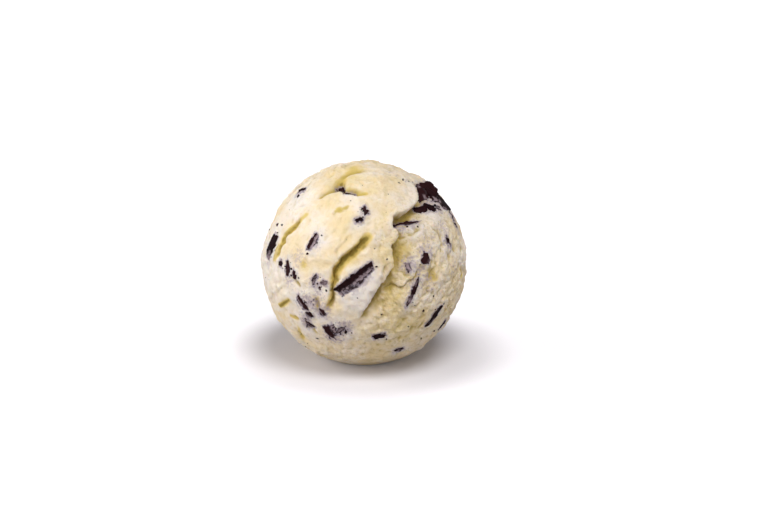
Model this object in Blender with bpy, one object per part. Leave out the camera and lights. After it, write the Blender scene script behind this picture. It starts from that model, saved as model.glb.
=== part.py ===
"""A scoop of stracciatella ice cream, as one solid.

The ball is round, with a small flat underside that it rests on. Its surface has the folds that a
scoop leaves where it rolls one layer of ice cream over another, hollows and cracks beside them,
small torn tongues, and crumbs. Shards of dark chocolate are frozen into it: one long edge of each
stands a little proud, and the other sinks into the ice cream.

Sizes are in metres, +Z is up, and the origin is the middle of the flat underside.
The front of the ball looks along -Y.
"""

import math
from collections import namedtuple

import bmesh
import bpy
import numpy as np

MM = 0.001

# The ball
BALL_RADIUS = 28.0 * MM
FLAT_RADIUS = 10.0 * MM
CENTRE_HEIGHT = math.sqrt(BALL_RADIUS**2 - FLAT_RADIUS**2)
CENTRE = np.array([0.0, 0.0, CENTRE_HEIGHT])
CALM_HEIGHT = 5.0 * MM  # below this the relief fades out, so that the underside stays flat

# Places on the ball are read from one of four sides (degrees round it), this far above the horizon
FRONT, RIGHT, BACK, LEFT = 0.0, 122.0, 195.0, 248.0
VIEW_ELEVATION = math.radians(18.0)

# Folds: the edge of one layer rolled over the next
EDGE_WIDTH = 0.55 * MM
LIP_WIDTH = 1.6 * MM
END_SHARE = 0.16  # of a fold's length, over which it fades in and out
RAGGED_COARSE = 0.55 * MM
RAGGED_COARSE_SIZE = 2.4 * MM
RAGGED_FINE = 0.20 * MM
RAGGED_FINE_SIZE = 0.9 * MM

# Grain of the whole surface: waves of a scoop's stroke, lumps, torn tongues and crumbs
STROKE_HEIGHT = 0.26 * MM
STROKE_SIZE = 3.4 * MM
STROKE_STRETCH = 3.2
STROKE_LEAN = math.radians(52.0)
LUMP_HEIGHT = 0.20 * MM
LUMP_SIZE = 4.6 * MM
TONGUE_HEIGHT = 0.42 * MM
TONGUE_LENGTH = 7.0 * MM
CRUMB_HEIGHT = 0.62 * MM
CRUMB_SIZE = 2.1 * MM
ROUGH_PATCH_SIZE = 11.0 * MM

# Flakes
FLAKE_CORNERS = 6
FLAKE_THICKNESS = 1.2 * MM
FLAKE_PROUD = 0.32 * MM
PRESS_REACH = 1.1 * MM  # round a flake, over which the ice cream is pressed to it
MOST_PRESSED = 1.8 * MM  # what lies further from the flake, such as a lip over it, stays
MOST_RAISED = 0.5 * MM
LARGEST_FLAKE = 11.0 * MM
FLAKE_SEED = 7
SPREAD_FLAKES = 64
SPREAD_CLEARANCE = 3.6 * MM
FRONT_REACH = -0.10  # spread flakes keep off the front, where each flake has its own place
TURN_STEP = math.pi * (3.0 - math.sqrt(5.0))  # between neighbours on an even spiral

# The faceted body: a fine sphere is shaped, then thinned to this share of its triangles
SPHERE_SUBDIVISIONS = 7
KEPT_SHARE = 0.098

Fold = namedtuple("Fold", "side route drop reach lip overhang")
Hollow = namedtuple("Hollow", "side across up length width turn depth")
Patch = namedtuple("Patch", "side across up radius strength")
Flake = namedtuple("Flake", "side across up length width turn tilt")
Shard = namedtuple("Shard", "origin axes corners rise slope")

# A fold's route is read across and up, in ball radii, from its side. Walking along it, the surface
# drops on the left hand. Drop, reach, lip and overhang are in millimetres.
FOLDS = [
    Fold(FRONT, [(0.43, 0.84), (0.47, 0.78), (0.50, 0.70), (0.49, 0.61), (0.44, 0.545), (0.37, 0.505),
                 (0.27, 0.475), (0.26, 0.35), (0.32, 0.27), (0.25, 0.16), (0.27, 0.05),
                 (0.23, -0.10), (0.13, -0.23), (0.06, -0.36), (-0.01, -0.49), (-0.09, -0.62)],
         3.6, 9.0, 0.4, 1.0),
    Fold(FRONT, [(0.22, 0.02), (0.16, -0.13), (0.08, -0.26), (0.01, -0.39), (-0.06, -0.52)],
         1.3, 3.2, 0.3, 0.3),
    Fold(FRONT, [(0.03, 0.30), (-0.03, 0.23), (-0.10, 0.165), (-0.18, 0.095), (-0.26, 0.01),
                 (-0.30, -0.09), (-0.31, -0.18), (-0.325, -0.28), (-0.34, -0.36), (-0.35, -0.47)],
         2.2, 3.6, 0.25, 0.8),
    Fold(FRONT, [(-0.45, 0.60), (-0.37, 0.645), (-0.30, 0.685), (-0.23, 0.70), (-0.165, 0.675),
                 (-0.10, 0.655), (0.04, 0.645)],
         1.5, 3.4, 0.2, 0.2),
    Fold(FRONT, [(-0.58, 0.46), (-0.65, 0.37), (-0.71, 0.315), (-0.76, 0.265), (-0.785, 0.20),
                 (-0.82, 0.12), (-0.87, 0.02)], 1.0, 1.8, 0.15, 0.3),
    Fold(FRONT, [(-0.12, 0.55), (-0.22, 0.51), (-0.31, 0.46)], 0.35, 2.2, 0.1, 0.1),
    Fold(FRONT, [(0.30, 0.29), (0.42, 0.26), (0.52, 0.29), (0.58, 0.34)], 0.9, 3.2, 0.2, 0.3),
    Fold(FRONT, [(0.56, 0.02), (0.47, -0.13), (0.38, -0.21), (0.29, -0.21), (0.22, -0.27)],
         1.1, 3.6, 0.2, 0.3),
    Fold(FRONT, [(0.60, 0.42), (0.66, 0.33), (0.73, 0.25), (0.74, 0.10)], 0.6, 2.2, 0.15, 0.2),
    Fold(RIGHT, [(-0.06, 0.70), (-0.02, 0.50), (-0.06, 0.30), (-0.14, 0.08), (-0.05, -0.14),
                 (0.04, -0.36), (-0.02, -0.55)], 2.4, 6.5, 0.35, 0.8),
    Fold(RIGHT, [(0.52, 0.44), (0.40, 0.30), (0.34, 0.12), (0.22, -0.02)], 1.2, 2.6, 0.2, 0.4),
    Fold(BACK, [(-0.56, 0.50), (-0.34, 0.42), (-0.10, 0.44), (0.12, 0.34), (0.34, 0.10)],
         2.2, 5.5, 0.3, 0.7),
    Fold(BACK, [(0.30, -0.08), (0.14, -0.22), (-0.06, -0.28), (-0.26, -0.42)], 1.3, 2.8, 0.25, 0.5),
    Fold(LEFT, [(0.18, 0.64), (0.08, 0.42), (0.10, 0.16), (0.0, -0.06), (-0.14, -0.22),
                (-0.20, -0.44)], 2.2, 5.5, 0.3, 0.7),
    Fold(LEFT, [(-0.30, 0.40), (-0.42, 0.20), (-0.44, -0.02), (-0.54, -0.20)], 1.0, 2.2, 0.2, 0.4),
]

# Length, width and depth are in millimetres, turn in degrees from the reader's right.
HOLLOWS = [
    Hollow(FRONT, 0.38, 0.44, 5.0, 3.4, 10, 1.0),
    Hollow(FRONT, 0.33, 0.12, 9.0, 4.6, 78, 1.0),
    Hollow(FRONT, 0.24, -0.32, 8.0, 4.0, 55, 0.6),
    Hollow(FRONT, -0.235, 0.76, 6.4, 3.0, 92, 2.2),
    Hollow(FRONT, -0.12, 0.875, 7.0, 2.0, 40, 0.9),
    Hollow(FRONT, -0.31, 0.70, 4.6, 2.0, 34, 1.0),
    Hollow(FRONT, -0.10, 0.685, 4.6, 1.8, -12, 0.9),
    Hollow(FRONT, 0.66, -0.09, 3.4, 2.2, 60, 0.9),
    Hollow(FRONT, 0.95, -0.10, 3.0, 2.0, 80, 0.5),
    Hollow(FRONT, -0.755, -0.38, 3.4, 1.6, 30, 0.7),
    Hollow(FRONT, -0.32, -0.28, 7.5, 1.5, 86, 0.9),
    Hollow(FRONT, -0.44, -0.38, 4.4, 1.4, 100, 0.9),
    Hollow(FRONT, -0.63, -0.18, 3.0, 1.2, -50, 0.7),
    Hollow(FRONT, -0.49, -0.63, 3.2, 1.4, -60, 0.8),
    Hollow(FRONT, -0.61, -0.70, 4.0, 2.0, 80, 0.5),
    Hollow(FRONT, -0.65, -0.52, 2.8, 1.3, -10, 0.7),
    Hollow(RIGHT, 0.10, 0.20, 8.0, 4.0, 80, 0.8),
    Hollow(BACK, 0.00, 0.58, 6.0, 4.0, 15, 0.8),
    Hollow(LEFT, 0.30, 0.05, 7.0, 4.0, 70, 0.8),
]

# Where the ice cream is crumbly (strength over 0) or smoothed by the scoop (under 0).
PATCHES = [
    Patch(FRONT, 0.55, -0.45, 0.50, 1.0),
    Patch(FRONT, 0.45, 0.15, 0.36, 0.8),
    Patch(FRONT, 0.80, 0.50, 0.34, 0.8),
    Patch(FRONT, -0.35, 0.25, 0.60, -0.8),
    Patch(FRONT, -0.10, -0.45, 0.28, -0.6),
    Patch(FRONT, -0.55, -0.55, 0.26, -0.2),
    Patch(FRONT, -0.84, -0.22, 0.34, -1.0),
    Patch(FRONT, 0.10, 0.88, 0.40, -0.5),
]

# Flakes at the front. Length and width in millimetres, turn in degrees from the reader's right, and
# tilt in degrees: how steeply the flake falls from its raised long edge to its sunken one.
FLAKES = [
    Flake(FRONT, -0.60, 0.70, 2.9, 2.0, -30, 14),
    Flake(FRONT, -0.235, 0.75, 2.3, 3.4, 0, 0),
    Flake(FRONT, -0.135, 0.69, 2.6, 1.7, -14, 3),
    Flake(FRONT, 0.02, 0.49, 2.6, 1.4, -65, 10),
    Flake(FRONT, -0.04, 0.405, 2.3, 1.4, 15, 12),
    Flake(FRONT, -0.475, 0.21, 5.4, 1.9, 64, 12),
    Flake(FRONT, -0.89, 0.165, 7.8, 3.8, 34, 3),
    Flake(FRONT, -0.72, -0.05, 4.6, 1.6, 92, 8),
    Flake(FRONT, -0.79, 0.00, 1.9, 1.5, 60, 6),
    Flake(FRONT, -0.65, -0.11, 2.6, 1.3, 80, 6),
    Flake(FRONT, -0.455, -0.16, 3.2, 1.7, 62, 20),
    Flake(FRONT, -0.37, -0.19, 1.9, 1.3, 10, 12),
    Flake(FRONT, -0.07, -0.14, 13.4, 3.2, 39, 7),
    Flake(FRONT, -0.58, -0.385, 5.2, 1.9, -58, 14),
    Flake(FRONT, -0.515, -0.485, 2.2, 1.5, -40, 12),
    Flake(FRONT, -0.39, -0.47, 2.6, 1.7, -38, 12),
    Flake(FRONT, -0.515, -0.59, 2.8, 2.1, -20, 10),
    Flake(FRONT, -0.305, -0.645, 4.7, 3.4, 100, 8),
    Flake(FRONT, -0.20, -0.64, 2.9, 2.1, 50, 20),
    Flake(FRONT, 0.15, -0.69, 3.6, 1.9, 15, 6),
    Flake(FRONT, 0.345, -0.835, 2.6, 1.6, 30, 12),
    Flake(FRONT, 0.475, -0.27, 8.8, 1.3, 61, 4),
    Flake(FRONT, 0.585, 0.05, 3.3, 2.8, 80, 4),
    Flake(FRONT, 0.44, -0.03, 2.7, 1.5, 100, 14),
    Flake(FRONT, 0.44, 0.415, 7.2, 1.9, 14, 26),
    Flake(FRONT, 0.60, 0.56, 3.8, 3.0, 15, 4),
    Flake(FRONT, 0.615, 0.725, 11.5, 6.2, 48, 0),
    Flake(FRONT, 0.685, 0.68, 5.4, 7.8, -45, 0),
    Flake(FRONT, 0.77, 0.595, 6.0, 9.0, -52, 0),
    Flake(FRONT, 0.665, 0.565, 4.8, 2.4, 108, 4),
    Flake(FRONT, 0.545, 0.735, 3.4, 1.7, 12, 4),
    Flake(FRONT, 0.815, 0.20, 3.3, 2.2, -36, 20),
    Flake(FRONT, 0.68, -0.49, 7.4, 1.5, 49, 6),
    Flake(FRONT, 0.765, -0.60, 2.8, 2.4, 50, 8),
]


def ease(low, high, value):
    """0 below low, 1 above high, and a smooth S between them."""
    share = np.clip((value - low) / (high - low), 0.0, 1.0)
    return share * share * (3.0 - 2.0 * share)


def noise(points, seed):
    """Smooth random field, about -1 to 1, with one wave a unit: random slopes at the corners of a
    unit lattice, blended over each cell."""
    random = np.random.default_rng(seed)
    order = random.permutation(256)
    slopes = random.normal(size=(256, 3))
    slopes /= np.linalg.norm(slopes, axis=1)[:, None]
    cell = np.floor(points).astype(int)
    part = points - cell
    blend = part**3 * (part * (part * 6.0 - 15.0) + 10.0)
    total = np.zeros(len(points))
    for corner in np.ndindex(2, 2, 2):
        x, y, z = ((cell + corner) % 256).T
        slope = slopes[order[(order[(order[x] + y) % 256] + z) % 256]]
        weight = np.prod(np.where(corner, blend, 1.0 - blend), axis=1)
        total += weight * np.einsum("ij,ij->i", slope, part - corner)
    return total * 1.6


def granules(points, seed):
    """Rounded crumbs with creases between them, 0 to 1: each cell of a unit lattice holds one grain of
    a random height, and the highest grain shows."""
    random = np.random.default_rng(seed)
    order = random.permutation(256)
    middles = random.uniform(size=(256, 3))
    heights = random.uniform(0.35, 1.0, 256)
    cell = np.floor(points).astype(int)
    highest = np.zeros(len(points))
    for corner in np.ndindex(3, 3, 3):
        home = cell + corner - 1
        x, y, z = (home % 256).T
        grain = order[(order[(order[x] + y) % 256] + z) % 256]
        gap = ((home + middles[grain] - points) ** 2).sum(1)
        highest = np.maximum(highest, heights[grain] * (1.0 - gap / 0.8))
    return highest


def view_axes(side):
    """Right, up and towards the reader, for a reader who looks at the ball from that side (degrees)."""
    turn = math.radians(side)
    right = np.array([math.cos(turn), math.sin(turn), 0.0])
    towards = np.array([
        math.sin(turn) * math.cos(VIEW_ELEVATION),
        -math.cos(turn) * math.cos(VIEW_ELEVATION),
        math.sin(VIEW_ELEVATION),
    ])
    return right, np.cross(towards, right), towards


def directions(side, places):
    """Unit vectors from the ball's centre to places read across and up from that side."""
    right, up, towards = view_axes(side)
    places = np.atleast_2d(np.asarray(places, float))
    depth = np.sqrt(np.clip(1.0 - (places**2).sum(1), 0.0, 1.0))
    found = places[:, :1] * right + places[:, 1:] * up + depth[:, None] * towards
    return found / np.linalg.norm(found, axis=1)[:, None]


def feature_axes(feature):
    """A feature's outward, length and width directions on the ball."""
    right, up, _ = view_axes(feature.side)
    turn = math.radians(feature.turn)
    normal = directions(feature.side, (feature.across, feature.up))[0]
    width_way = np.cross(normal, math.cos(turn) * right + math.sin(turn) * up)
    width_way /= np.linalg.norm(width_way)
    return normal, np.cross(width_way, normal), width_way


def smooth_route(places, steps=4):
    """A smooth curve through the places, as a Catmull-Rom spline with that many steps a span."""
    places = np.asarray(places, float)
    padded = np.vstack([2 * places[0] - places[1], places, 2 * places[-1] - places[-2]])
    share = np.linspace(0.0, 1.0, steps, endpoint=False)[:, None]
    spans = []
    for a, b, c, d in zip(padded, padded[1:], padded[2:], padded[3:]):
        spans.append(0.5 * (2 * b + (c - a) * share + (2 * a - 5 * b + 4 * c - d) * share**2
                            + (3 * b - a - 3 * c + d) * share**3))
    return np.vstack([*spans, places[-1:]])


def across_route(normals, route):
    """For points given as unit vectors: signed distance from the route on the ball, share of the way
    along it, and the unit direction that crosses it towards its low side."""
    crossing = np.cross(route, np.gradient(route, axis=0))
    crossing /= np.linalg.norm(crossing, axis=1)[:, None]
    start, way = route[:-1], np.diff(route, axis=0)
    along = np.einsum("ijk,jk->ij", normals[:, None] - start, way) / (way**2).sum(1)
    along = np.clip(along, 0.0, 1.0)
    gap = normals[:, None] - (start + along[..., None] * way)
    nearest = (gap**2).sum(2).argmin(1)
    row = np.arange(len(normals))
    gap, along = gap[row, nearest], along[row, nearest][:, None]
    across = (1.0 - along) * crossing[nearest] + along * crossing[nearest + 1]
    across /= np.linalg.norm(across, axis=1)[:, None]
    distance = np.copysign(np.linalg.norm(gap, axis=1), (gap * across).sum(1)) * BALL_RADIUS
    return distance, (nearest + along[:, 0]) / len(way), across


def fold_offsets(normals, fold, seed):
    """Radial rise and sideways shift that a fold gives each point near it.

    Beside the torn edge the high layer swells into a lip that leans over the drop. On the other side
    the surface falls by the drop and climbs back over the reach."""
    rise, shift = np.zeros(len(normals)), np.zeros_like(normals)
    route = directions(fold.side, smooth_route(fold.route))
    middle = route.mean(0)
    width = np.linalg.norm(route - middle, axis=1).max() + (fold.reach + 4.0) * MM / BALL_RADIUS
    near = np.linalg.norm(normals - middle, axis=1) < width
    distance, along, across = across_route(normals[near], route)
    points = normals[near] * BALL_RADIUS
    distance += RAGGED_COARSE * noise(points / RAGGED_COARSE_SIZE, seed)
    distance += RAGGED_FINE * noise(points / RAGGED_FINE_SIZE, seed + 1)
    strength = ease(0.0, END_SHARE, along) * ease(0.0, END_SHARE, 1.0 - along)
    low_side = ease(-EDGE_WIDTH, EDGE_WIDTH, distance)
    lip = fold.lip * MM * np.exp(-((np.minimum(distance, 0.0) / LIP_WIDTH) ** 2))
    climb = ease(0.0, fold.reach * MM, np.maximum(distance, 0.0))
    rise[near] = strength * ((1.0 - low_side) * lip - low_side * fold.drop * MM * (1.0 - climb))
    nose = np.exp(-(((distance + 0.5 * MM) / (0.8 * MM)) ** 2))
    foot = 0.5 * np.exp(-(((distance - 0.9 * MM) / (0.6 * MM)) ** 2))
    shift[near] = (strength * fold.overhang * MM * (nose - foot))[:, None] * across
    return rise, shift


def hollow_depth(normals, hollow):
    """How far a hollow sinks each point: a bell curve of its length and width."""
    normal, length_way, width_way = feature_axes(hollow)
    facing = normals @ normal > 0.0
    x = normals @ length_way * BALL_RADIUS / (0.5 * hollow.length * MM)
    y = normals @ width_way * BALL_RADIUS / (0.5 * hollow.width * MM)
    return hollow.depth * MM * np.exp(-(x**2) - y**2) * facing


def roughness(normals):
    """0 where the scoop smoothed the ice cream, 1 where it tore into crumbs."""
    rough = 0.5 + 0.6 * noise(normals * BALL_RADIUS / ROUGH_PATCH_SIZE, 31)
    for patch in PATCHES:
        middle = directions(patch.side, (patch.across, patch.up))[0]
        gap = np.linalg.norm(normals - middle, axis=1)
        rough += patch.strength * np.exp(-((gap / patch.radius) ** 2))
    return np.clip(rough, 0.0, 1.0)


def strokes(normals):
    """Rise of the whole surface: long waves along the scoop's stroke, lumps, and small tongues in
    steps across the stroke, each rising slowly and ending in a torn edge."""
    right, up, towards = view_axes(FRONT)
    stroke = math.cos(STROKE_LEAN) * right + math.sin(STROKE_LEAN) * up
    points = normals * BALL_RADIUS
    squeezed = points - np.outer(points @ stroke, stroke) * (1.0 - 1.0 / STROKE_STRETCH)
    waves = STROKE_HEIGHT * noise(squeezed / STROKE_SIZE, 41)
    lumps = LUMP_HEIGHT * noise(points / LUMP_SIZE, 42)
    way = points @ np.cross(stroke, towards) + 1.8 * MM * noise(squeezed / (3.0 * MM), 51)
    way += 0.6 * MM * noise(points / (1.5 * MM), 52)
    tooth = way / TONGUE_LENGTH
    tooth -= np.floor(tooth)
    torn = ease(0.05, 0.45, noise(points / (8.0 * MM), 53))
    return waves + lumps + TONGUE_HEIGHT * torn * ease(0.0, 0.9, tooth) * (1.0 - ease(0.9, 1.0, tooth))


def calm(normals):
    """The relief's share: 0 at the height of the table, 1 above the calm height."""
    return ease(0.0, CALM_HEIGHT, CENTRE_HEIGHT + normals[:, 2] * BALL_RADIUS)


def form(normals):
    """Where the ice cream's surface lies in each direction from the ball's centre, without crumbs."""
    rise = strokes(normals)
    shift = np.zeros_like(normals)
    for number, fold in enumerate(FOLDS):
        fold_rise, fold_shift = fold_offsets(normals, fold, 100 + 10 * number)
        rise += fold_rise
        shift += fold_shift
    for hollow in HOLLOWS:
        rise -= hollow_depth(normals, hollow)
    share = calm(normals)
    return CENTRE + normals * (BALL_RADIUS + rise * share)[:, None] + shift * share[:, None]


def crumbs(normals):
    """Rise of the crumbs, where the ice cream is rough."""
    points = normals * BALL_RADIUS
    bent = points + 0.5 * MM * noise(points / (1.3 * MM), 45)[:, None]
    return CRUMB_HEIGHT * (granules(bent / CRUMB_SIZE, 43) - 0.5) * roughness(normals) * calm(normals)


def spread_flakes():
    """Flakes for the sides, back and top, on an even spiral, clear of the front and of each other."""
    random = np.random.default_rng(FLAKE_SEED)
    towards = view_axes(FRONT)[2]
    taken = [directions(f.side, (f.across, f.up))[0] for f in FLAKES]
    found = []
    for number in range(SPREAD_FLAKES):
        height = 1.0 - 2.0 * (number + 0.5) / SPREAD_FLAKES
        ring = math.sqrt(1.0 - height * height)
        angle = number * TURN_STEP
        normal = np.array([ring * math.cos(angle), ring * math.sin(angle), height])
        normal += random.normal(size=3) * 0.06
        normal /= np.linalg.norm(normal)
        length, stretch = random.uniform(2.0, 8.5), random.uniform(0.25, 0.55)
        turn, tilt = random.uniform(0.0, 180.0), random.uniform(2.0, 16.0)
        gaps = [np.linalg.norm(normal - other) * BALL_RADIUS for other in taken]
        low = normal[2] * BALL_RADIUS + CENTRE_HEIGHT < CALM_HEIGHT
        if low or normal @ towards > FRONT_REACH or min(gaps) < SPREAD_CLEARANCE:
            continue
        taken.append(normal)
        side = math.degrees(math.atan2(normal[0], -normal[1]))
        right, up, _ = view_axes(side)
        width = max(1.3, length * stretch)
        found.append(Flake(side, normal @ right, normal @ up, length, width, turn, tilt))
    return found


def lay_flake(flake, number):
    """A flake's place. Its plane is fitted to five places on the ice cream, its raised long edge stands
    proud, and its face falls from there by the tilt. Its six corners are pushed in or out."""
    normal, length_way, width_way = feature_axes(flake)
    x, y = 0.3 * flake.length * MM / BALL_RADIUS, 0.4 * flake.width * MM / BALL_RADIUS
    tries = normal + np.array([[0, 0], [x, 0], [-x, 0], [0, y], [0, -y]]) @ [length_way, width_way]
    tries /= np.linalg.norm(tries, axis=1)[:, None]
    middle, ahead, behind, left, right = form(tries)
    out = np.cross(ahead - behind, left - right)
    out /= np.linalg.norm(out)
    along = ahead - behind
    along -= (along @ out) * out
    along /= np.linalg.norm(along)
    slope = math.tan(math.radians(flake.tilt))
    centre = 0.5 * middle + 0.125 * (ahead + behind + left + right)
    random = np.random.default_rng(1000 + number)
    angles = np.arange(FLAKE_CORNERS) + 0.5 + random.uniform(-0.28, 0.28, FLAKE_CORNERS)
    angles *= 2 * math.pi / FLAKE_CORNERS
    spread = random.uniform(0.78, 1.12, FLAKE_CORNERS)
    corners = np.column_stack([
        0.5 * flake.length * MM * np.sign(np.cos(angles)) * np.abs(np.cos(angles)) ** 0.6 * spread,
        0.5 * flake.width * MM * np.sign(np.sin(angles)) * np.abs(np.sin(angles)) ** 0.6 * spread,
    ])
    rise = FLAKE_PROUD - 0.5 * slope * flake.width * MM
    return Shard(centre + rise * out, np.array([along, np.cross(out, along), out]), corners, rise, slope)


def outline_gap(shard, x, y):
    """Distance outside a flake's outline, negative inside."""
    sides = np.roll(shard.corners, -1, axis=0) - shard.corners
    out = np.column_stack([sides[:, 1], -sides[:, 0]])
    out /= np.linalg.norm(out, axis=1)[:, None]
    return (x[:, None] * out[:, 0] + y[:, None] * out[:, 1] - (shard.corners * out).sum(1)).max(1)


def press(points, shards):
    """Moves the ice cream onto the plane that each flake was laid for, under it and close round it."""
    pressed = points.copy()
    for shard in shards:
        near = np.linalg.norm(points - shard.origin, axis=1) < LARGEST_FLAKE
        x, y, z = ((pressed[near] - shard.origin) @ shard.axes.T).T
        share = 1.0 - ease(0.0, PRESS_REACH, outline_gap(shard, x, y))
        step = -shard.rise - (x**2 + y**2) / (2.0 * BALL_RADIUS) - z
        share *= 1.0 - ease(0.6, 1.2, np.abs(step) / MOST_PRESSED)
        step = np.clip(step, -MOST_PRESSED, MOST_RAISED)
        pressed[near] += (share * step)[:, None] * shard.axes[2]
    return pressed


def material(name, colour, roughness_value):
    """A plain finish."""
    finish = bpy.data.materials.new(name)
    finish.use_nodes = True
    shader = finish.node_tree.nodes["Principled BSDF"]
    shader.inputs["Base Color"].default_value = (*colour, 1.0)
    shader.inputs["Roughness"].default_value = roughness_value
    shader.inputs["Metallic"].default_value = 0.0
    return finish


def new_object(name, shape):
    """Puts a bmesh into the scene as a named object."""
    mesh = bpy.data.meshes.new(name)
    shape.to_mesh(mesh)
    shape.free()
    made = bpy.data.objects.new(name, mesh)
    bpy.context.scene.collection.objects.link(made)
    return made


def apply_modifiers(made):
    """Keeps the mesh that the object's modifiers give, and drops the modifiers."""
    graph = bpy.context.evaluated_depsgraph_get()
    finished = bpy.data.meshes.new_from_object(made.evaluated_get(graph))
    made.modifiers.clear()
    made.data = finished


def make_ball(shards):
    """The ice cream: a fine sphere moved onto the surface, then thinned to few triangles."""
    shape = bmesh.new()
    bmesh.ops.create_icosphere(shape, subdivisions=SPHERE_SUBDIVISIONS, radius=1.0)
    ball = new_object("scoop", shape)
    points = np.empty(len(ball.data.vertices) * 3, np.float32)
    ball.data.vertices.foreach_get("co", points)
    normals = points.reshape(-1, 3).astype(float)
    normals /= np.linalg.norm(normals, axis=1)[:, None]
    surface = press(form(normals), shards) + normals * crumbs(normals)[:, None]
    ball.data.vertices.foreach_set("co", surface.astype(np.float32).ravel())
    thin = ball.modifiers.new("thin", "DECIMATE")
    thin.decimate_type = "COLLAPSE"
    thin.ratio = KEPT_SHARE
    apply_modifiers(ball)
    return ball


def make_flake(shard, number, group):
    """A broken shard of chocolate: a six-cornered plate that bends with the ball. Its two faces are
    split along its middle corners."""
    shape = bmesh.new()
    x, y = shard.corners.T
    top = shard.slope * y - (x**2 + y**2) / (2.0 * BALL_RADIUS)
    for drop in (FLAKE_THICKNESS, 0.0):
        for place in shard.origin + np.column_stack([x, y, top - drop]) @ shard.axes:
            shape.verts.new(place)
    shape.verts.ensure_lookup_table()
    lower, upper = shape.verts[:FLAKE_CORNERS], shape.verts[FLAKE_CORNERS:]
    for a, b, c in ((0, 1, 4), (0, 4, 5), (1, 2, 3), (1, 3, 4)):
        shape.faces.new((upper[a], upper[b], upper[c]))
        shape.faces.new((lower[c], lower[b], lower[a]))
    for a in range(FLAKE_CORNERS):
        b = (a + 1) % FLAKE_CORNERS
        shape.faces.new((lower[a], lower[b], upper[b], upper[a]))
    made = new_object(f"flake_{number:02d}", shape)
    bpy.context.scene.collection.objects.unlink(made)
    group.objects.link(made)
    return made


def fuse_flakes(ball, group):
    """Joins every flake to the ball, then removes the flakes' own objects."""
    join = ball.modifiers.new("flakes", "BOOLEAN")
    join.operation = "UNION"
    join.operand_type = "COLLECTION"
    join.collection = group
    join.solver = "EXACT"
    apply_modifiers(ball)
    for made in list(group.objects):
        bpy.data.objects.remove(made)
    bpy.data.collections.remove(group)


def cut_flat(ball):
    """Cuts the underside flat at the height of the table, and closes it."""
    shape = bmesh.new()
    shape.from_mesh(ball.data)
    everything = [*shape.verts, *shape.edges, *shape.faces]
    bmesh.ops.bisect_plane(shape, geom=everything, plane_co=(0, 0, 0), plane_no=(0, 0, -1), clear_outer=True)
    rim = [edge for edge in shape.edges if edge.is_boundary]
    bmesh.ops.contextual_create(shape, geom=rim)
    bmesh.ops.recalc_face_normals(shape, faces=shape.faces)
    shape.to_mesh(ball.data)
    shape.free()


def main():
    for old in list(bpy.data.objects):
        bpy.data.objects.remove(old)
    shards = [lay_flake(flake, number) for number, flake in enumerate(FLAKES + spread_flakes())]
    ball = make_ball(shards)
    group = bpy.data.collections.new("flakes")
    bpy.context.scene.collection.children.link(group)
    for number, shard in enumerate(shards):
        make_flake(shard, number, group)
    bpy.context.view_layer.update()
    fuse_flakes(ball, group)
    cut_flat(ball)
    ball.data.materials.clear()
    ball.data.materials.append(material("ice_cream", (0.80, 0.65, 0.45), 0.6))
    ball.data.shade_smooth()
    ball.data.set_sharp_from_angle(angle=math.radians(35.0))


main()
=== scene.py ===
"""The looks of a scoop of stracciatella ice cream: the ball with its rolled folds and crumbly grain,
the dark chocolate flakes frozen into it, the finer chocolate crumbs, and a plain studio round them.

Everything is in metres, +Z is up, and the front of the ball looks along -Y.
"""

from __future__ import annotations

import logging
import math
from collections.abc import Iterator
from dataclasses import dataclass
from enum import Enum, IntEnum

import bpy
import numpy as np
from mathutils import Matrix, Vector

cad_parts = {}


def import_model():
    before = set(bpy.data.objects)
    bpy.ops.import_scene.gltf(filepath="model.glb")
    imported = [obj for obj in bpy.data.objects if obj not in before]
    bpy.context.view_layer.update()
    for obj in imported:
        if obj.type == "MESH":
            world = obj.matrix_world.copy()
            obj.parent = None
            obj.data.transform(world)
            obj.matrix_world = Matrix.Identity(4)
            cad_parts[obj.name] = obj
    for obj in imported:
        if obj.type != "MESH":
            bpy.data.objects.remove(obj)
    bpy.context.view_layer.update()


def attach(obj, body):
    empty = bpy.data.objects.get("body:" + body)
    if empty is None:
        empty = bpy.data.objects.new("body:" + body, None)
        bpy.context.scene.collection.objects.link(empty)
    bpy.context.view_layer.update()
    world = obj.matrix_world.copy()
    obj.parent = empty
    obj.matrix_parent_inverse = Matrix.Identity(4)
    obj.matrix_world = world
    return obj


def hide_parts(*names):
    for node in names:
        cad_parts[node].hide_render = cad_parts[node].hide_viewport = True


LOG = logging.getLogger("scoop")
MM = 0.001
Socket = bpy.types.NodeSocket
Colour = tuple[float, float, float]
# What a socket can be fed: another socket, a number or a colour
Value = Socket | float | Colour

# The ball, as in the solid
BALL_RADIUS = 28.0 * MM
FLAT_RADIUS = 10.0 * MM
CENTRE_HEIGHT = math.sqrt(BALL_RADIUS**2 - FLAT_RADIUS**2)
CALM_HEIGHT = 5.0 * MM
VIEW_ELEVATION = math.radians(18.0)

# The random fields: cells after which one repeats, and what makes its values about -1 to 1
CELLS = 256
NOISE_GAIN = 1.6
LOWEST_GRAIN = 0.35
GRAIN_REACH = 0.8


class Side(float, Enum):
    """The sides that places on the ball are read from, in degrees round it."""

    FRONT = 0.0
    RIGHT = 122.0
    BACK = 195.0
    LEFT = 248.0


class Seed(IntEnum):
    """What each random field or draw starts from. Folds and flakes count on from theirs."""

    FLAKE_SPREAD = 7
    CRUMB_PLACES = 17
    CRUMB_SHAPES = 18
    ROUGH_PATCHES = 31
    STROKES = 41
    LUMPS = 42
    CRUMBS = 43
    GRIT = 44
    CRUMB_BEND = 45
    SMEARS = 46
    DIMPLES = 47
    TONGUE_BEND = 51
    TONGUE_RAGS = 52
    TONGUE_PATCHES = 53
    CHIPS = 71
    FINE_CHIPS = 72
    WAVES = 73
    BUMPS = 74
    FOLDS = 100
    FLAKES = 1000


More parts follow.
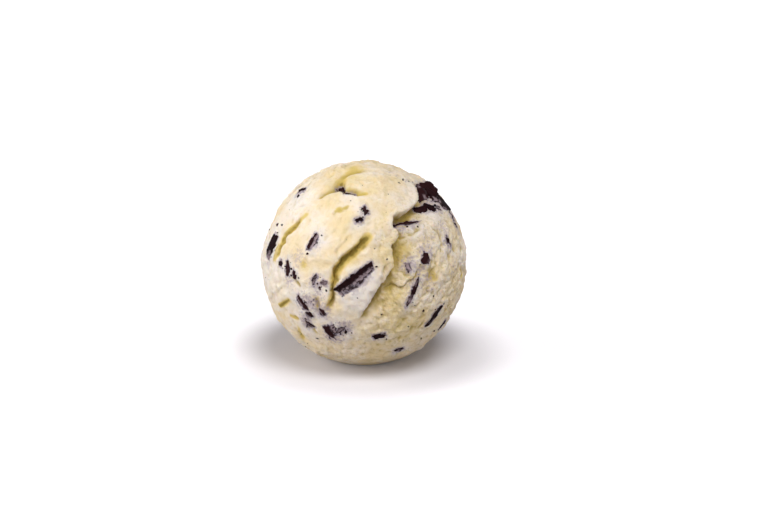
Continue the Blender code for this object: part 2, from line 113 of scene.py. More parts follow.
class Slot(Enum):
    """The record's material slots."""

    ICE_CREAM = "ice_cream"
    CHOCOLATE = "chocolate"


class Mask(Enum):
    """What a piece keeps at its points for its finish to read: shares from 0 to 1, but for the tint mask,
    which goes from -1, frosty white with painted highlight, to over 1, the deepest yellow with painted
    shade."""

    # Painted shade: how far a point lies below its surroundings, for darker yellow in hollows
    CREASE_SHADE = "crease_shade"
    # Painted highlight with some frost: how far a point stands above its surroundings, for white
    CREST_FROST_AND_HIGHLIGHT = "crest_frost_and_highlight"
    ROUGH = "rough"
    VEIL = "veil"
    STAIN = "stain"
    HAZE = "haze"
    # The tint mask: yellow tint with painted shade over 0, frosty white with painted highlight under 0
    TINT_AND_PAINTED_LIGHT = "tint_and_painted_light"
    SUNK = "sunk"
    TONE = "tone"


def ease(low: float, high: float, value: np.ndarray) -> np.ndarray:
    """0 below low, 1 above high, and a smooth S between them.

    Args:
        low: Where the S starts.
        high: Where the S ends.
        value: The values to shape.

    Returns:
        The share for each value, from 0 to 1.
    """
    share = np.clip((value - low) / (high - low), 0.0, 1.0)
    return share * share * (3.0 - 2.0 * share)


def noise(points: np.ndarray, seed: int) -> np.ndarray:
    """Smooth random field, one wave a unit: random slopes at the corners of a unit lattice, each times
    the step from its corner, blended over the cell by the curve 6t^5 - 15t^4 + 10t^3.

    Args:
        points: Places to read the field at, one row each.
        seed: Which field.

    Returns:
        One value for each point, about -1 to 1.
    """
    random = np.random.default_rng(seed)
    order = random.permutation(CELLS)
    slopes = random.normal(size=(CELLS, 3))
    slopes /= np.linalg.norm(slopes, axis=1)[:, None]
    cell = np.floor(points).astype(int)
    part = points - cell
    blend = part**3 * (part * (part * 6.0 - 15.0) + 10.0)
    total = np.zeros(len(points))
    for corner in np.ndindex(2, 2, 2):
        x, y, z = ((cell + corner) % CELLS).T
        slope = slopes[order[(order[(order[x] + y) % CELLS] + z) % CELLS]]
        weight = np.prod(np.where(corner, blend, 1.0 - blend), axis=1)
        total += weight * np.einsum("ij,ij->i", slope, part - corner)
    return total * NOISE_GAIN


def granules(points: np.ndarray, seed: int) -> np.ndarray:
    """Rounded crumbs with creases between them. Each cell of a unit lattice holds one grain, a random
    height times 1 - gap^2 / reach, and the highest grain shows.

    Args:
        points: Places to read the field at, one row each.
        seed: Which field.

    Returns:
        One height for each point, 0 to 1.
    """
    random = np.random.default_rng(seed)
    order = random.permutation(CELLS)
    middles = random.uniform(size=(CELLS, 3))
    heights = random.uniform(LOWEST_GRAIN, 1.0, CELLS)
    cell = np.floor(points).astype(int)
    highest = np.zeros(len(points))
    for corner in np.ndindex(3, 3, 3):
        home = cell + corner - 1
        x, y, z = (home % CELLS).T
        grain = order[(order[(order[x] + y) % CELLS] + z) % CELLS]
        gap = ((home + middles[grain] - points) ** 2).sum(1)
        highest = np.maximum(highest, heights[grain] * (1.0 - gap / GRAIN_REACH))
    return highest


def view_axes(side: float) -> tuple[np.ndarray, np.ndarray, np.ndarray]:
    """Right, up and towards the reader, for one who looks at the ball from that side.

    Args:
        side: Degrees round the ball, 0 at the front.

    Returns:
        Three unit vectors.
    """
    turn = math.radians(side)
    right = np.array([math.cos(turn), math.sin(turn), 0.0])
    towards = np.array([
        math.sin(turn) * math.cos(VIEW_ELEVATION),
        -math.cos(turn) * math.cos(VIEW_ELEVATION),
        math.sin(VIEW_ELEVATION),
    ])
    return right, np.cross(towards, right), towards


def directions(side: float, places: np.ndarray | list | tuple) -> np.ndarray:
    """Unit vectors from the ball's centre to places read across and up from a side, in ball radii.

    Args:
        side: Degrees round the ball.
        places: One or more (across, up) pairs.

    Returns:
        One unit vector a row.
    """
    right, up, towards = view_axes(side)
    flat = np.atleast_2d(np.asarray(places, float))
    depth = np.sqrt(np.clip(1.0 - (flat**2).sum(1), 0.0, 1.0))
    found = flat[:, :1] * right + flat[:, 1:] * up + depth[:, None] * towards
    return found / np.linalg.norm(found, axis=1)[:, None]


def smooth_route(places: np.ndarray | list, steps: int = 4) -> np.ndarray:
    """A smooth curve through places: a Catmull-Rom spline, whose slope at a place is half the step
    between its neighbours.

    Args:
        places: (across, up) pairs.
        steps: Points a span.

    Returns:
        The curve's points.
    """
    given = np.asarray(places, float)
    padded = np.vstack([2 * given[0] - given[1], given, 2 * given[-1] - given[-2]])
    share = np.linspace(0.0, 1.0, steps, endpoint=False)[:, None]
    spans = []
    for a, b, c, d in zip(padded, padded[1:], padded[2:], padded[3:]):
        spans.append(0.5 * (2 * b + (c - a) * share + (2 * a - 5 * b + 4 * c - d) * share**2
                            + (3 * b - a - 3 * c + d) * share**3))
    return np.vstack([*spans, given[-1:]])


@dataclass(frozen=True)
class Place:
    """A place on the ball, read across and up from a side, in ball radii."""

    side: float
    across: float
    up: float

    @property
    def normal(self) -> np.ndarray:
        """Its outward direction."""
        return directions(self.side, (self.across, self.up))[0]


@dataclass(frozen=True)
class Spot(Place):
    """A round mark that fades out from its middle. Its radius is in ball radii."""

    radius: float
    strength: float

    def bell(self, normals: np.ndarray) -> np.ndarray:
        """A bell curve of each unit vector's distance from its middle, times its strength."""
        gap = np.linalg.norm(normals - self.normal, axis=1)
        return self.strength * np.exp(-((gap / self.radius) ** 2))


@dataclass(frozen=True)
class Laid(Place):
    """Something long that lies on the ball. Length and width in millimetres, turn in degrees."""

    length: float
    width: float
    turn: float

    @property
    def axes(self) -> tuple[np.ndarray, np.ndarray, np.ndarray]:
        """The ways it lies.

        Returns:
            Its outward, length's and width's directions, as unit vectors.
        """
        right, up, _ = view_axes(self.side)
        turn = math.radians(self.turn)
        width_way = np.cross(self.normal, math.cos(turn) * right + math.sin(turn) * up)
        width_way /= np.linalg.norm(width_way)
        return self.normal, np.cross(width_way, self.normal), width_way


@dataclass(frozen=True)
class Hollow(Laid):
    """A shallow dent. Its depth is in millimetres."""

    depth: float

    def dent(self, normals: np.ndarray) -> np.ndarray:
        """How deep it goes: its depth times a bell curve along its length and one across its width, of
        places measured flat, as the unit vector times the ball's radius on its two ways.

        Args:
            normals: Unit vectors from the ball's centre.

        Returns:
            Metres at each, with points on the far half of the ball put far off.
        """
        normal, length_way, width_way = self.axes
        far = np.where(normals @ normal > 0.0, 0.0, 1.0)
        x, y = normals @ length_way * BALL_RADIUS + far, normals @ width_way * BALL_RADIUS + far
        reach = (2 * x / (self.length * MM)) ** 2 + (2 * y / (self.width * MM)) ** 2
        return self.depth * MM * np.exp(-reach)


@dataclass(frozen=True)
class Flake(Laid):
    """A shard of chocolate, raised on one long side by its tilt in degrees."""

    tilt: float


@dataclass(frozen=True)
class Fold:
    """The edge of one layer rolled over the next. The surface drops on the left hand of one who walks
    its route. Drop, reach, lip and overhang are in millimetres."""

    side: float
    route: list[tuple[float, float]]
    drop: float
    reach: float
    lip: float
    overhang: float


@dataclass(frozen=True)
class Streak:
    """A mark along a route, which fades out to its sides. Its route and radius are in ball radii, and
    points farther than its reach from the route's middle are left alone."""

    side: float
    route: list[tuple[float, float]]
    radius: float
    strength: float
    steps: int = 8
    reach: float = 0.5

    def bell(self, normals: np.ndarray) -> np.ndarray:
        """A bell curve of the distance from its route, times its strength.

        Args:
            normals: Unit vectors from the ball's centre.

        Returns:
            Its value at each.
        """
        route = directions(self.side, smooth_route(self.route, self.steps))
        near = np.linalg.norm(normals - route.mean(0), axis=1) < self.reach
        gap = np.linalg.norm(normals[near][:, None] - route, axis=2).min(1)
        found = np.zeros(len(normals))
        found[near] = self.strength * np.exp(-((gap / self.radius) ** 2))
        return found


def from_side(kind: type, side: Side, rows: list[tuple]) -> list:
    """Features whose places are all read from one side.

    Args:
        kind: The features' class.
        side: The side.
        rows: Their other values, a feature a row.

    Returns:
        The features.
    """
    return [kind(side, *row) for row in rows]


FOLDS = from_side(Fold, Side.FRONT, [
    ([(0.43, 0.84), (0.47, 0.78), (0.50, 0.70), (0.49, 0.61), (0.44, 0.545), (0.37, 0.505), (0.27, 0.475),
      (0.26, 0.35), (0.32, 0.27), (0.25, 0.16), (0.27, 0.05), (0.23, -0.10), (0.13, -0.23), (0.06, -0.36),
      (-0.01, -0.49), (-0.09, -0.62)], 3.6, 9.0, 0.4, 1.0),
    ([(0.22, 0.02), (0.16, -0.13), (0.08, -0.26), (0.01, -0.39), (-0.06, -0.52)], 1.3, 3.2, 0.3, 0.3),
    ([(0.03, 0.30), (-0.03, 0.23), (-0.10, 0.165), (-0.18, 0.095), (-0.26, 0.01), (-0.30, -0.09),
      (-0.31, -0.18), (-0.325, -0.28), (-0.34, -0.36), (-0.35, -0.47)], 2.2, 3.6, 0.25, 0.8),
    ([(-0.45, 0.60), (-0.37, 0.645), (-0.30, 0.685), (-0.23, 0.70), (-0.165, 0.675), (-0.10, 0.655),
      (0.04, 0.645)], 1.5, 3.4, 0.2, 0.2),
    ([(-0.58, 0.46), (-0.65, 0.37), (-0.71, 0.315), (-0.76, 0.265), (-0.785, 0.20), (-0.82, 0.12),
      (-0.87, 0.02)], 1.0, 1.8, 0.15, 0.3),
    ([(-0.12, 0.55), (-0.22, 0.51), (-0.31, 0.46)], 0.35, 2.2, 0.1, 0.1),
    ([(0.30, 0.29), (0.42, 0.26), (0.52, 0.29), (0.58, 0.34)], 0.9, 3.2, 0.2, 0.3),
    ([(0.56, 0.02), (0.47, -0.13), (0.38, -0.21), (0.29, -0.21), (0.22, -0.27)], 1.1, 3.6, 0.2, 0.3),
    ([(0.60, 0.42), (0.66, 0.33), (0.73, 0.25), (0.74, 0.10)], 0.6, 2.2, 0.15, 0.2),
]) + from_side(Fold, Side.RIGHT, [
    ([(-0.06, 0.70), (-0.02, 0.50), (-0.06, 0.30), (-0.14, 0.08), (-0.05, -0.14), (0.04, -0.36),
      (-0.02, -0.55)], 2.4, 6.5, 0.35, 0.8),
    ([(0.52, 0.44), (0.40, 0.30), (0.34, 0.12), (0.22, -0.02)], 1.2, 2.6, 0.2, 0.4),
]) + from_side(Fold, Side.BACK, [
    ([(-0.56, 0.50), (-0.34, 0.42), (-0.10, 0.44), (0.12, 0.34), (0.34, 0.10)], 2.2, 5.5, 0.3, 0.7),
    ([(0.30, -0.08), (0.14, -0.22), (-0.06, -0.28), (-0.26, -0.42)], 1.3, 2.8, 0.25, 0.5),
]) + from_side(Fold, Side.LEFT, [
    ([(0.18, 0.64), (0.08, 0.42), (0.10, 0.16), (0.0, -0.06), (-0.14, -0.22), (-0.20, -0.44)],
     2.2, 5.5, 0.3, 0.7),
    ([(-0.30, 0.40), (-0.42, 0.20), (-0.44, -0.02), (-0.54, -0.20)], 1.0, 2.2, 0.2, 0.4),
])

HOLLOWS = from_side(Hollow, Side.FRONT, [
    (0.38, 0.44, 5.0, 3.4, 10, 1.0), (0.33, 0.12, 9.0, 4.6, 78, 1.0), (0.24, -0.32, 8.0, 4.0, 55, 0.6),
    (-0.235, 0.76, 6.4, 3.0, 92, 2.2), (-0.12, 0.875, 7.0, 2.0, 40, 0.9), (-0.31, 0.70, 4.6, 2.0, 34, 1.0),
    (-0.10, 0.685, 4.6, 1.8, -12, 0.9), (0.66, -0.09, 3.4, 2.2, 60, 0.9), (0.95, -0.10, 3.0, 2.0, 80, 0.5),
    (-0.755, -0.38, 3.4, 1.6, 30, 0.7), (-0.32, -0.28, 7.5, 1.5, 86, 0.9),
    (-0.44, -0.38, 4.4, 1.4, 100, 0.9), (-0.63, -0.18, 3.0, 1.2, -50, 0.7),
    (-0.49, -0.63, 3.2, 1.4, -60, 0.8), (-0.61, -0.70, 4.0, 2.0, 80, 0.5),
    (-0.65, -0.52, 2.8, 1.3, -10, 0.7),
]) + from_side(Hollow, Side.RIGHT, [
    (0.10, 0.20, 8.0, 4.0, 80, 0.8),
]) + from_side(Hollow, Side.BACK, [
    (0.00, 0.58, 6.0, 4.0, 15, 0.8),
]) + from_side(Hollow, Side.LEFT, [
    (0.30, 0.05, 7.0, 4.0, 70, 0.8),
])

# Where the ice cream is crumbly (strength over 0) or smoothed by the scoop (under 0)
PATCHES = from_side(Spot, Side.FRONT, [
    (0.55, -0.45, 0.50, 1.0), (0.45, 0.15, 0.36, 0.8), (0.80, 0.50, 0.34, 0.8), (-0.35, 0.25, 0.60, -0.8),
    (-0.10, -0.45, 0.28, -0.6), (-0.55, -0.55, 0.26, -0.2), (-0.84, -0.22, 0.34, -1.0),
    (0.10, 0.88, 0.40, -0.5),
])

FLAKES = from_side(Flake, Side.FRONT, [
    (-0.60, 0.70, 2.9, 2.0, -30, 14), (-0.235, 0.75, 2.3, 3.4, 0, 0), (-0.135, 0.69, 2.6, 1.7, -14, 3),
    (0.02, 0.49, 2.6, 1.4, -65, 10), (-0.04, 0.405, 2.3, 1.4, 15, 12), (-0.475, 0.21, 5.4, 1.9, 64, 12),
    (-0.89, 0.165, 7.8, 3.8, 34, 3), (-0.72, -0.05, 4.6, 1.6, 92, 8), (-0.79, 0.00, 1.9, 1.5, 60, 6),
    (-0.65, -0.11, 2.6, 1.3, 80, 6), (-0.455, -0.16, 3.2, 1.7, 62, 20), (-0.37, -0.19, 1.9, 1.3, 10, 12),
    (-0.07, -0.14, 13.4, 3.2, 39, 7), (-0.58, -0.385, 5.2, 1.9, -58, 14),
    (-0.515, -0.485, 2.2, 1.5, -40, 12), (-0.39, -0.47, 2.6, 1.7, -38, 12),
    (-0.515, -0.59, 2.8, 2.1, -20, 10), (-0.305, -0.645, 4.7, 3.4, 100, 8),
    (-0.20, -0.64, 2.9, 2.1, 50, 20), (0.15, -0.69, 3.6, 1.9, 15, 6), (0.345, -0.835, 2.6, 1.6, 30, 12),
    (0.475, -0.27, 8.8, 1.3, 61, 4), (0.585, 0.05, 3.3, 2.8, 80, 4), (0.44, -0.03, 2.7, 1.5, 100, 14),
    (0.44, 0.415, 7.2, 1.9, 14, 26), (0.60, 0.56, 3.8, 3.0, 15, 4), (0.615, 0.725, 11.5, 6.2, 48, 0),
    (0.685, 0.68, 5.4, 7.8, -45, 0), (0.77, 0.595, 6.0, 9.0, -52, 0), (0.665, 0.565, 4.8, 2.4, 108, 4),
    (0.545, 0.735, 3.4, 1.7, 12, 4), (0.815, 0.20, 3.3, 2.2, -36, 20), (0.68, -0.49, 7.4, 1.5, 49, 6),
    (0.765, -0.60, 2.8, 2.4, 50, 8),
])

# Deeper yellow tint with painted shade in hollows (over 0), frosty white with painted highlight (under 0)
TINTS_AND_PAINTED_LIGHT = from_side(Spot, Side.FRONT, [
    (-0.235, 0.77, 0.08, 1.1), (-0.08, 0.905, 0.09, 0.6), (-0.26, 0.76, 0.22, 0.5), (0.36, 0.10, 0.20, 0.5),
    (0.38, 0.43, 0.10, 0.8), (0.28, -0.30, 0.18, 0.45), (0.50, -0.12, 0.22, 0.35),
    (0.33, -0.62, 0.34, 0.35), (0.02, 0.22, 0.06, 0.75), (-0.12, 0.08, 0.09, 0.7), (-0.82, 0.14, 0.07, 0.6),
    (-0.567, -0.01, 0.045, 0.75), (-0.227, 0.51, 0.035, 1.0), (-0.617, -0.68, 0.035, 1.0),
    (-0.95, 0.05, 0.35, -0.7), (-0.62, 0.62, 0.26, -0.55), (0.00, -0.36, 0.18, -0.7),
    (0.74, 0.42, 0.24, -0.3), (-0.62, -0.36, 0.30, -0.5), (-0.45, 0.30, 0.20, -0.3),
    (-0.08, 0.32, 0.16, 0.32), (0.34, 0.64, 0.18, -0.2), (0.95, 0.05, 0.25, -0.35),
]) + from_side(Spot, Side.RIGHT, [
    (0.06, 0.24, 0.30, 0.5), (0.20, -0.40, 0.30, -0.5),
]) + from_side(Spot, Side.BACK, [
    (0.00, 0.56, 0.24, 0.6), (-0.20, -0.10, 0.30, -0.5), (0.10, -0.34, 0.20, 0.5),
]) + from_side(Spot, Side.LEFT, [
    (0.20, 0.00, 0.24, 0.5), (-0.10, 0.50, 0.26, -0.5),
])

# Lines of painted shade in deeper yellow, as at the foot of a fold
SHADE_STREAKS = from_side(Streak, Side.FRONT, [
    ([(0.03, 0.24), (-0.04, 0.17), (-0.11, 0.10), (-0.18, 0.035), (-0.24, -0.03), (-0.28, -0.12),
      (-0.305, -0.22)], 0.048, 1.5),
    ([(-0.305, -0.22), (-0.325, -0.33), (-0.34, -0.42)], 0.035, 1.0),
    ([(-0.54, 0.465), (-0.60, 0.41), (-0.65, 0.37)], 0.03, 0.7),
    ([(-0.66, 0.35), (-0.70, 0.32), (-0.76, 0.26), (-0.785, 0.20), (-0.85, 0.04)], 0.032, 1.45),
    ([(-0.82, 0.18), (-0.85, 0.10), (-0.87, 0.035)], 0.022, 1.4),
    ([(-0.39, 0.645), (-0.335, 0.69), (-0.28, 0.725), (-0.235, 0.745)], 0.04, 1.4),
    ([(-0.245, 0.73), (-0.24, 0.77), (-0.225, 0.80)], 0.06, 1.3),
    ([(-0.22, 0.82), (-0.15, 0.87), (-0.09, 0.90)], 0.05, 0.7),
    ([(-0.20, 0.72), (-0.13, 0.705), (-0.06, 0.68)], 0.04, 1.3),
    ([(-0.06, 0.68), (0.02, 0.665)], 0.025, 1.1), ([(0.63, -0.06), (0.68, -0.13)], 0.035, 0.9),
    ([(0.94, -0.05), (0.955, -0.12)], 0.03, 1.2), ([(0.33, 0.43), (0.40, 0.465), (0.48, 0.51)], 0.04, 1.0),
    ([(-0.80, -0.405), (-0.755, -0.38), (-0.71, -0.35)], 0.024, 1.9),
    ([(-0.66, -0.13), (-0.635, -0.16), (-0.61, -0.19)], 0.018, 1.1),
    ([(-0.70, -0.50), (-0.665, -0.52), (-0.64, -0.53)], 0.018, 1.2),
    ([(-0.53, -0.55), (-0.49, -0.61), (-0.46, -0.66)], 0.018, 1.1),
    ([(-0.43, -0.32), (-0.44, -0.38), (-0.445, -0.44)], 0.018, 0.95),
    ([(-0.62, -0.62), (-0.615, -0.68), (-0.60, -0.73)], 0.03, 0.8),
    ([(-0.26, 0.495), (-0.22, 0.51), (-0.15, 0.54)], 0.018, 0.7),
])

# Chocolate crushed into the ice cream: ragged and dark, and paler and lilac where it is weak
SMEARS = from_side(Spot, Side.FRONT, [
    (0.55, 0.75, 0.08, 0.8), (0.61, 0.72, 0.11, 1.2), (0.67, 0.69, 0.12, 1.2), (0.74, 0.63, 0.11, 1.1),
    (0.80, 0.56, 0.10, 0.95), (0.85, 0.48, 0.10, 0.86), (0.885, 0.40, 0.10, 0.76), (0.92, 0.31, 0.08, 0.5),
    (0.72, 0.60, 0.08, 0.95), (0.72, 0.53, 0.06, 0.9), (0.60, 0.56, 0.07, 0.9), (0.68, 0.62, 0.09, 0.6),
    (0.52, 0.42, 0.06, 0.65), (0.40, 0.38, 0.05, 0.55), (-0.24, 0.735, 0.035, 1.1),
    (0.00, 0.43, 0.05, 0.45), (-0.92, 0.00, 0.07, 0.42), (-0.70, -0.17, 0.09, 0.45),
    (-0.45, -0.19, 0.10, 0.50), (-0.42, -0.30, 0.07, 0.42), (-0.52, -0.38, 0.12, 0.66),
    (-0.47, -0.36, 0.08, 0.50), (-0.54, -0.54, 0.09, 0.68), (-0.38, -0.45, 0.09, 0.62),
    (-0.29, -0.70, 0.11, 0.66), (-0.17, -0.60, 0.09, 0.62), (-0.44, 0.16, 0.07, 0.36),
    (0.45, -0.01, 0.10, 0.52), (0.60, 0.10, 0.12, 0.50), (0.56, -0.05, 0.08, 0.42),
    (0.61, -0.16, 0.14, 0.42), (0.50, -0.20, 0.09, 0.42), (0.82, 0.18, 0.09, 0.50),
    (0.76, 0.33, 0.12, 0.36), (0.34, -0.85, 0.08, 0.45), (0.79, -0.57, 0.09, 0.45),
    (0.40, 0.80, 0.06, 0.36), (0.33, 0.84, 0.05, 0.34), (0.24, 0.88, 0.05, 0.30), (-0.62, 0.06, 0.13, 0.34),
    (-0.44, 0.28, 0.10, 0.24), (0.62, 0.22, 0.14, 0.30), (0.86, -0.05, 0.16, 0.26),
])

# Where ice cream is smeared thinly over the flakes
FILMS = from_side(Spot, Side.FRONT, [
    (-0.45, -0.18, 0.10, 0.5), (-0.37, -0.19, 0.07, 0.6), (-0.50, -0.62, 0.10, 0.45),
    (-0.26, -0.75, 0.10, 0.7), (0.45, -0.34, 0.06, 0.6), (0.50, -0.19, 0.05, 0.5), (0.65, -0.55, 0.06, 0.5),
    (0.34, -0.85, 0.06, 0.7), (-0.20, -0.66, 0.08, 0.7), (-0.05, -0.20, 0.05, 0.4),
    (0.44, -0.04, 0.06, 0.7), (0.63, 0.02, 0.05, 0.6), (0.84, 0.16, 0.06, 0.7), (-0.91, 0.06, 0.08, 0.6),
    (0.62, 0.67, 0.05, 0.62), (0.71, 0.61, 0.06, 0.72), (0.55, 0.76, 0.04, 0.5), (0.79, 0.49, 0.08, 0.7),
    (0.71, 0.70, 0.035, 0.55), (0.66, 0.75, 0.03, 0.5), (0.83, 0.55, 0.05, 0.5),
])

# Single crumbs of chocolate: across and up in ball radii, radius in millimetres
SPECKS = [
    (-0.82, 0.375, 0.42), (-0.78, 0.37, 0.38), (-0.545, -0.78, 0.30), (0.67, -0.31, 0.34),
    (0.57, -0.45, 0.26), (0.68, -0.66, 0.32), (0.38, 0.80, 0.36), (0.34, 0.77, 0.28), (0.43, 0.79, 0.24),
    (0.12, -0.03, 0.28),
]


def bells(normals: np.ndarray, marks: list[Spot | Streak]) -> np.ndarray:
    """The highest bell curve over 0 of some marks, plus the deepest under 0.

    Args:
        normals: Unit vectors from the ball's centre.
        marks: Spots and streaks.

    Returns:
        The value at each vector.
    """
    found = np.array([mark.bell(normals) for mark in marks])
    return np.maximum(found.max(0), 0.0) + np.minimum(found.min(0), 0.0)


def mesh_object(name: str, points: np.ndarray, *faces: np.ndarray) -> bpy.types.Object:
    """Puts arrays into the scene as a smooth mesh.

    Args:
        name: The object's name.
        points: Corners in metres, one row each.
        faces: Corner numbers, a face a row, counter-clockwise from outside.

    Returns:
        The new object, at the origin.
    """
    mesh = bpy.data.meshes.new(name)
    mesh.vertices.add(len(points))
    mesh.vertices.foreach_set("co", points.astype(np.float32).ravel())
    loops = np.concatenate([given.ravel() for given in faces])
    counts = np.concatenate([np.full(len(given), given.shape[1]) for given in faces])
    mesh.loops.add(len(loops))
    mesh.loops.foreach_set("vertex_index", loops.astype(np.int32))
    mesh.polygons.add(len(counts))
    mesh.polygons.foreach_set("loop_start", (counts.cumsum() - counts).astype(np.int32))
    mesh.update(calc_edges=True)
    mesh.validate()
    mesh.shade_smooth()
    made = bpy.data.objects.new(name, mesh)
    bpy.context.scene.collection.objects.link(made)
    return made


def store(piece: bpy.types.Object, mask: Mask, values: np.ndarray) -> None:
    """Keeps a mask on a piece.

    Args:
        piece: The piece.
        mask: Which mask.
        values: Its value at each point.
    """
    layer = piece.data.attributes.new(mask.value, "FLOAT", "POINT")
    layer.data.foreach_set("value", values.astype(np.float32))


@dataclass(frozen=True)
class ScoopSurface:
    """Where the ice cream's surface lies in each direction from the ball's centre."""

    edge_width: float = 0.55 * MM
    lip_width: float = 1.6 * MM
    nose_at: float = -0.5 * MM
    nose_width: float = 0.8 * MM
    foot_at: float = 0.9 * MM
    foot_width: float = 0.6 * MM
    foot_share: float = 0.5
    fold_margin: float = 4.0 * MM
    end_share: float = 0.16
    ragged_coarse: float = 0.55 * MM
    ragged_coarse_size: float = 2.4 * MM
    ragged_fine: float = 0.2 * MM
    ragged_fine_size: float = 0.9 * MM
    stroke_height: float = 0.26 * MM
    stroke_size: float = 3.4 * MM
    stroke_stretch: float = 3.2
    stroke_lean: float = math.radians(52.0)
    lump_height: float = 0.20 * MM
    lump_size: float = 4.6 * MM
    tongue_height: float = 0.42 * MM
    tongue_length: float = 7.0 * MM
    tongue_tip: float = 0.9
    tongue_bend: float = 1.8 * MM
    tongue_bend_size: float = 3.0 * MM
    tongue_ragged: float = 0.6 * MM
    tongue_ragged_size: float = 1.5 * MM
    tongue_patch_size: float = 8.0 * MM
    rough_patch_size: float = 11.0 * MM
    crumb_height: float = 0.62 * MM
    crumb_size: float = 2.1 * MM
    crumb_bend: float = 0.5 * MM
    crumb_bend_size: float = 1.3 * MM
    grit_height: float = 0.50 * MM
    grit_size: float = 1.15 * MM
    least_grit: float = 0.35
    dimple_height: float = 0.16 * MM
    dimple_size: float = 1.7 * MM

    def across_route(self, normals: np.ndarray, route: np.ndarray) -> tuple[np.ndarray, ...]:
        """Measures points from a route: the step to its nearest stretch, signed by the side it is on.

        Args:
            normals: Unit vectors from the ball's centre.
            route: The route's points, as unit vectors.

        Returns:
            Signed distance in metres, share of the way along, and the unit direction that crosses the
            route towards its low side.
        """
        crossing = np.cross(route, np.gradient(route, axis=0))
        crossing /= np.linalg.norm(crossing, axis=1)[:, None]
        start, way = route[:-1], np.diff(route, axis=0)
        along = np.einsum("ijk,jk->ij", normals[:, None] - start, way) / (way**2).sum(1)
        along = np.clip(along, 0.0, 1.0)
        gap = normals[:, None] - (start + along[..., None] * way)
        nearest = (gap**2).sum(2).argmin(1)
        row = np.arange(len(normals))
        gap, along = gap[row, nearest], along[row, nearest][:, None]
        across = (1.0 - along) * crossing[nearest] + along * crossing[nearest + 1]
        across /= np.linalg.norm(across, axis=1)[:, None]
        distance = np.copysign(np.linalg.norm(gap, axis=1), (gap * across).sum(1)) * BALL_RADIUS
        return distance, (nearest + along[:, 0]) / len(way), across

    def fold(self, normals: np.ndarray, fold: Fold, seed: int) -> tuple[np.ndarray, np.ndarray]:
        """One fold. The high layer swells into a lip, a bell curve beside the edge, and its nose, another,
        leans over the foot of the drop. The low side falls by the drop and climbs back over the reach
        as an S.

        Args:
            normals: Unit vectors from the ball's centre.
            fold: The fold.
            seed: Which torn edge it has.

        Returns:
            Radial rise, and sideways shift.
        """
        rise, shift = np.zeros(len(normals)), np.zeros_like(normals)
        route = directions(fold.side, smooth_route(fold.route))
        middle = route.mean(0)
        margin = (fold.reach * MM + self.fold_margin) / BALL_RADIUS
        width = np.linalg.norm(route - middle, axis=1).max() + margin
        near = np.linalg.norm(normals - middle, axis=1) < width
        distance, along, across = self.across_route(normals[near], route)
        points = normals[near] * BALL_RADIUS
        distance += self.ragged_coarse * noise(points / self.ragged_coarse_size, seed)
        distance += self.ragged_fine * noise(points / self.ragged_fine_size, seed + 1)
        strength = ease(0.0, self.end_share, along) * ease(0.0, self.end_share, 1.0 - along)
        low_side = ease(-self.edge_width, self.edge_width, distance)
        lip = fold.lip * MM * np.exp(-((np.minimum(distance, 0.0) / self.lip_width) ** 2))
        climb = ease(0.0, fold.reach * MM, np.maximum(distance, 0.0))
        rise[near] = strength * ((1.0 - low_side) * lip - low_side * fold.drop * MM * (1.0 - climb))
        nose = np.exp(-(((distance - self.nose_at) / self.nose_width) ** 2))
        foot = self.foot_share * np.exp(-(((distance - self.foot_at) / self.foot_width) ** 2))
        shift[near] = (strength * fold.overhang * MM * (nose - foot))[:, None] * across
        return rise, shift

    def roughness(self, normals: np.ndarray) -> np.ndarray:
        """How torn the ice cream is: slow noise plus the bell curves of the patches.

        Args:
            normals: Unit vectors from the ball's centre.

        Returns:
            0 where the scoop smoothed it, to 1 where it tore.
        """
        rough = 0.5 + 0.6 * noise(normals * BALL_RADIUS / self.rough_patch_size, Seed.ROUGH_PATCHES)
        for patch in PATCHES:
            rough += patch.bell(normals)
        return np.clip(rough, 0.0, 1.0)

    def form(self, normals: np.ndarray) -> tuple[np.ndarray, np.ndarray]:
        """Everything but the crumbs: waves stretched along the scoop's stroke, lumps, small overlapping
        tongues (a saw tooth of the way across the stroke, bent by noise), folds and hollows.

        Args:
            normals: Unit vectors from the ball's centre.

        Returns:
            Radial rise, and sideways shift.
        """
        right, up, towards = view_axes(Side.FRONT)
        stroke = math.cos(self.stroke_lean) * right + math.sin(self.stroke_lean) * up
        points = normals * BALL_RADIUS
        squeezed = points - np.outer(points @ stroke, stroke) * (1.0 - 1.0 / self.stroke_stretch)
        rise = self.stroke_height * noise(squeezed / self.stroke_size, Seed.STROKES)
        rise += self.lump_height * noise(points / self.lump_size, Seed.LUMPS)
        way = points @ np.cross(stroke, towards)
        way += self.tongue_bend * noise(squeezed / self.tongue_bend_size, Seed.TONGUE_BEND)
        way += self.tongue_ragged * noise(points / self.tongue_ragged_size, Seed.TONGUE_RAGS)
        tooth = way / self.tongue_length
        tooth -= np.floor(tooth)
        torn = ease(0.05, 0.45, noise(points / self.tongue_patch_size, Seed.TONGUE_PATCHES))
        torn *= ease(0.0, self.tongue_tip, tooth) * (1.0 - ease(self.tongue_tip, 1.0, tooth))
        rise += self.tongue_height * torn
        shift = np.zeros_like(normals)
        for number, fold in enumerate(FOLDS):
            fold_rise, fold_shift = self.fold(normals, fold, Seed.FOLDS + 10 * number)
            rise += fold_rise
            shift += fold_shift
        for hollow in HOLLOWS:
            rise -= hollow.dent(normals)
        return rise, shift

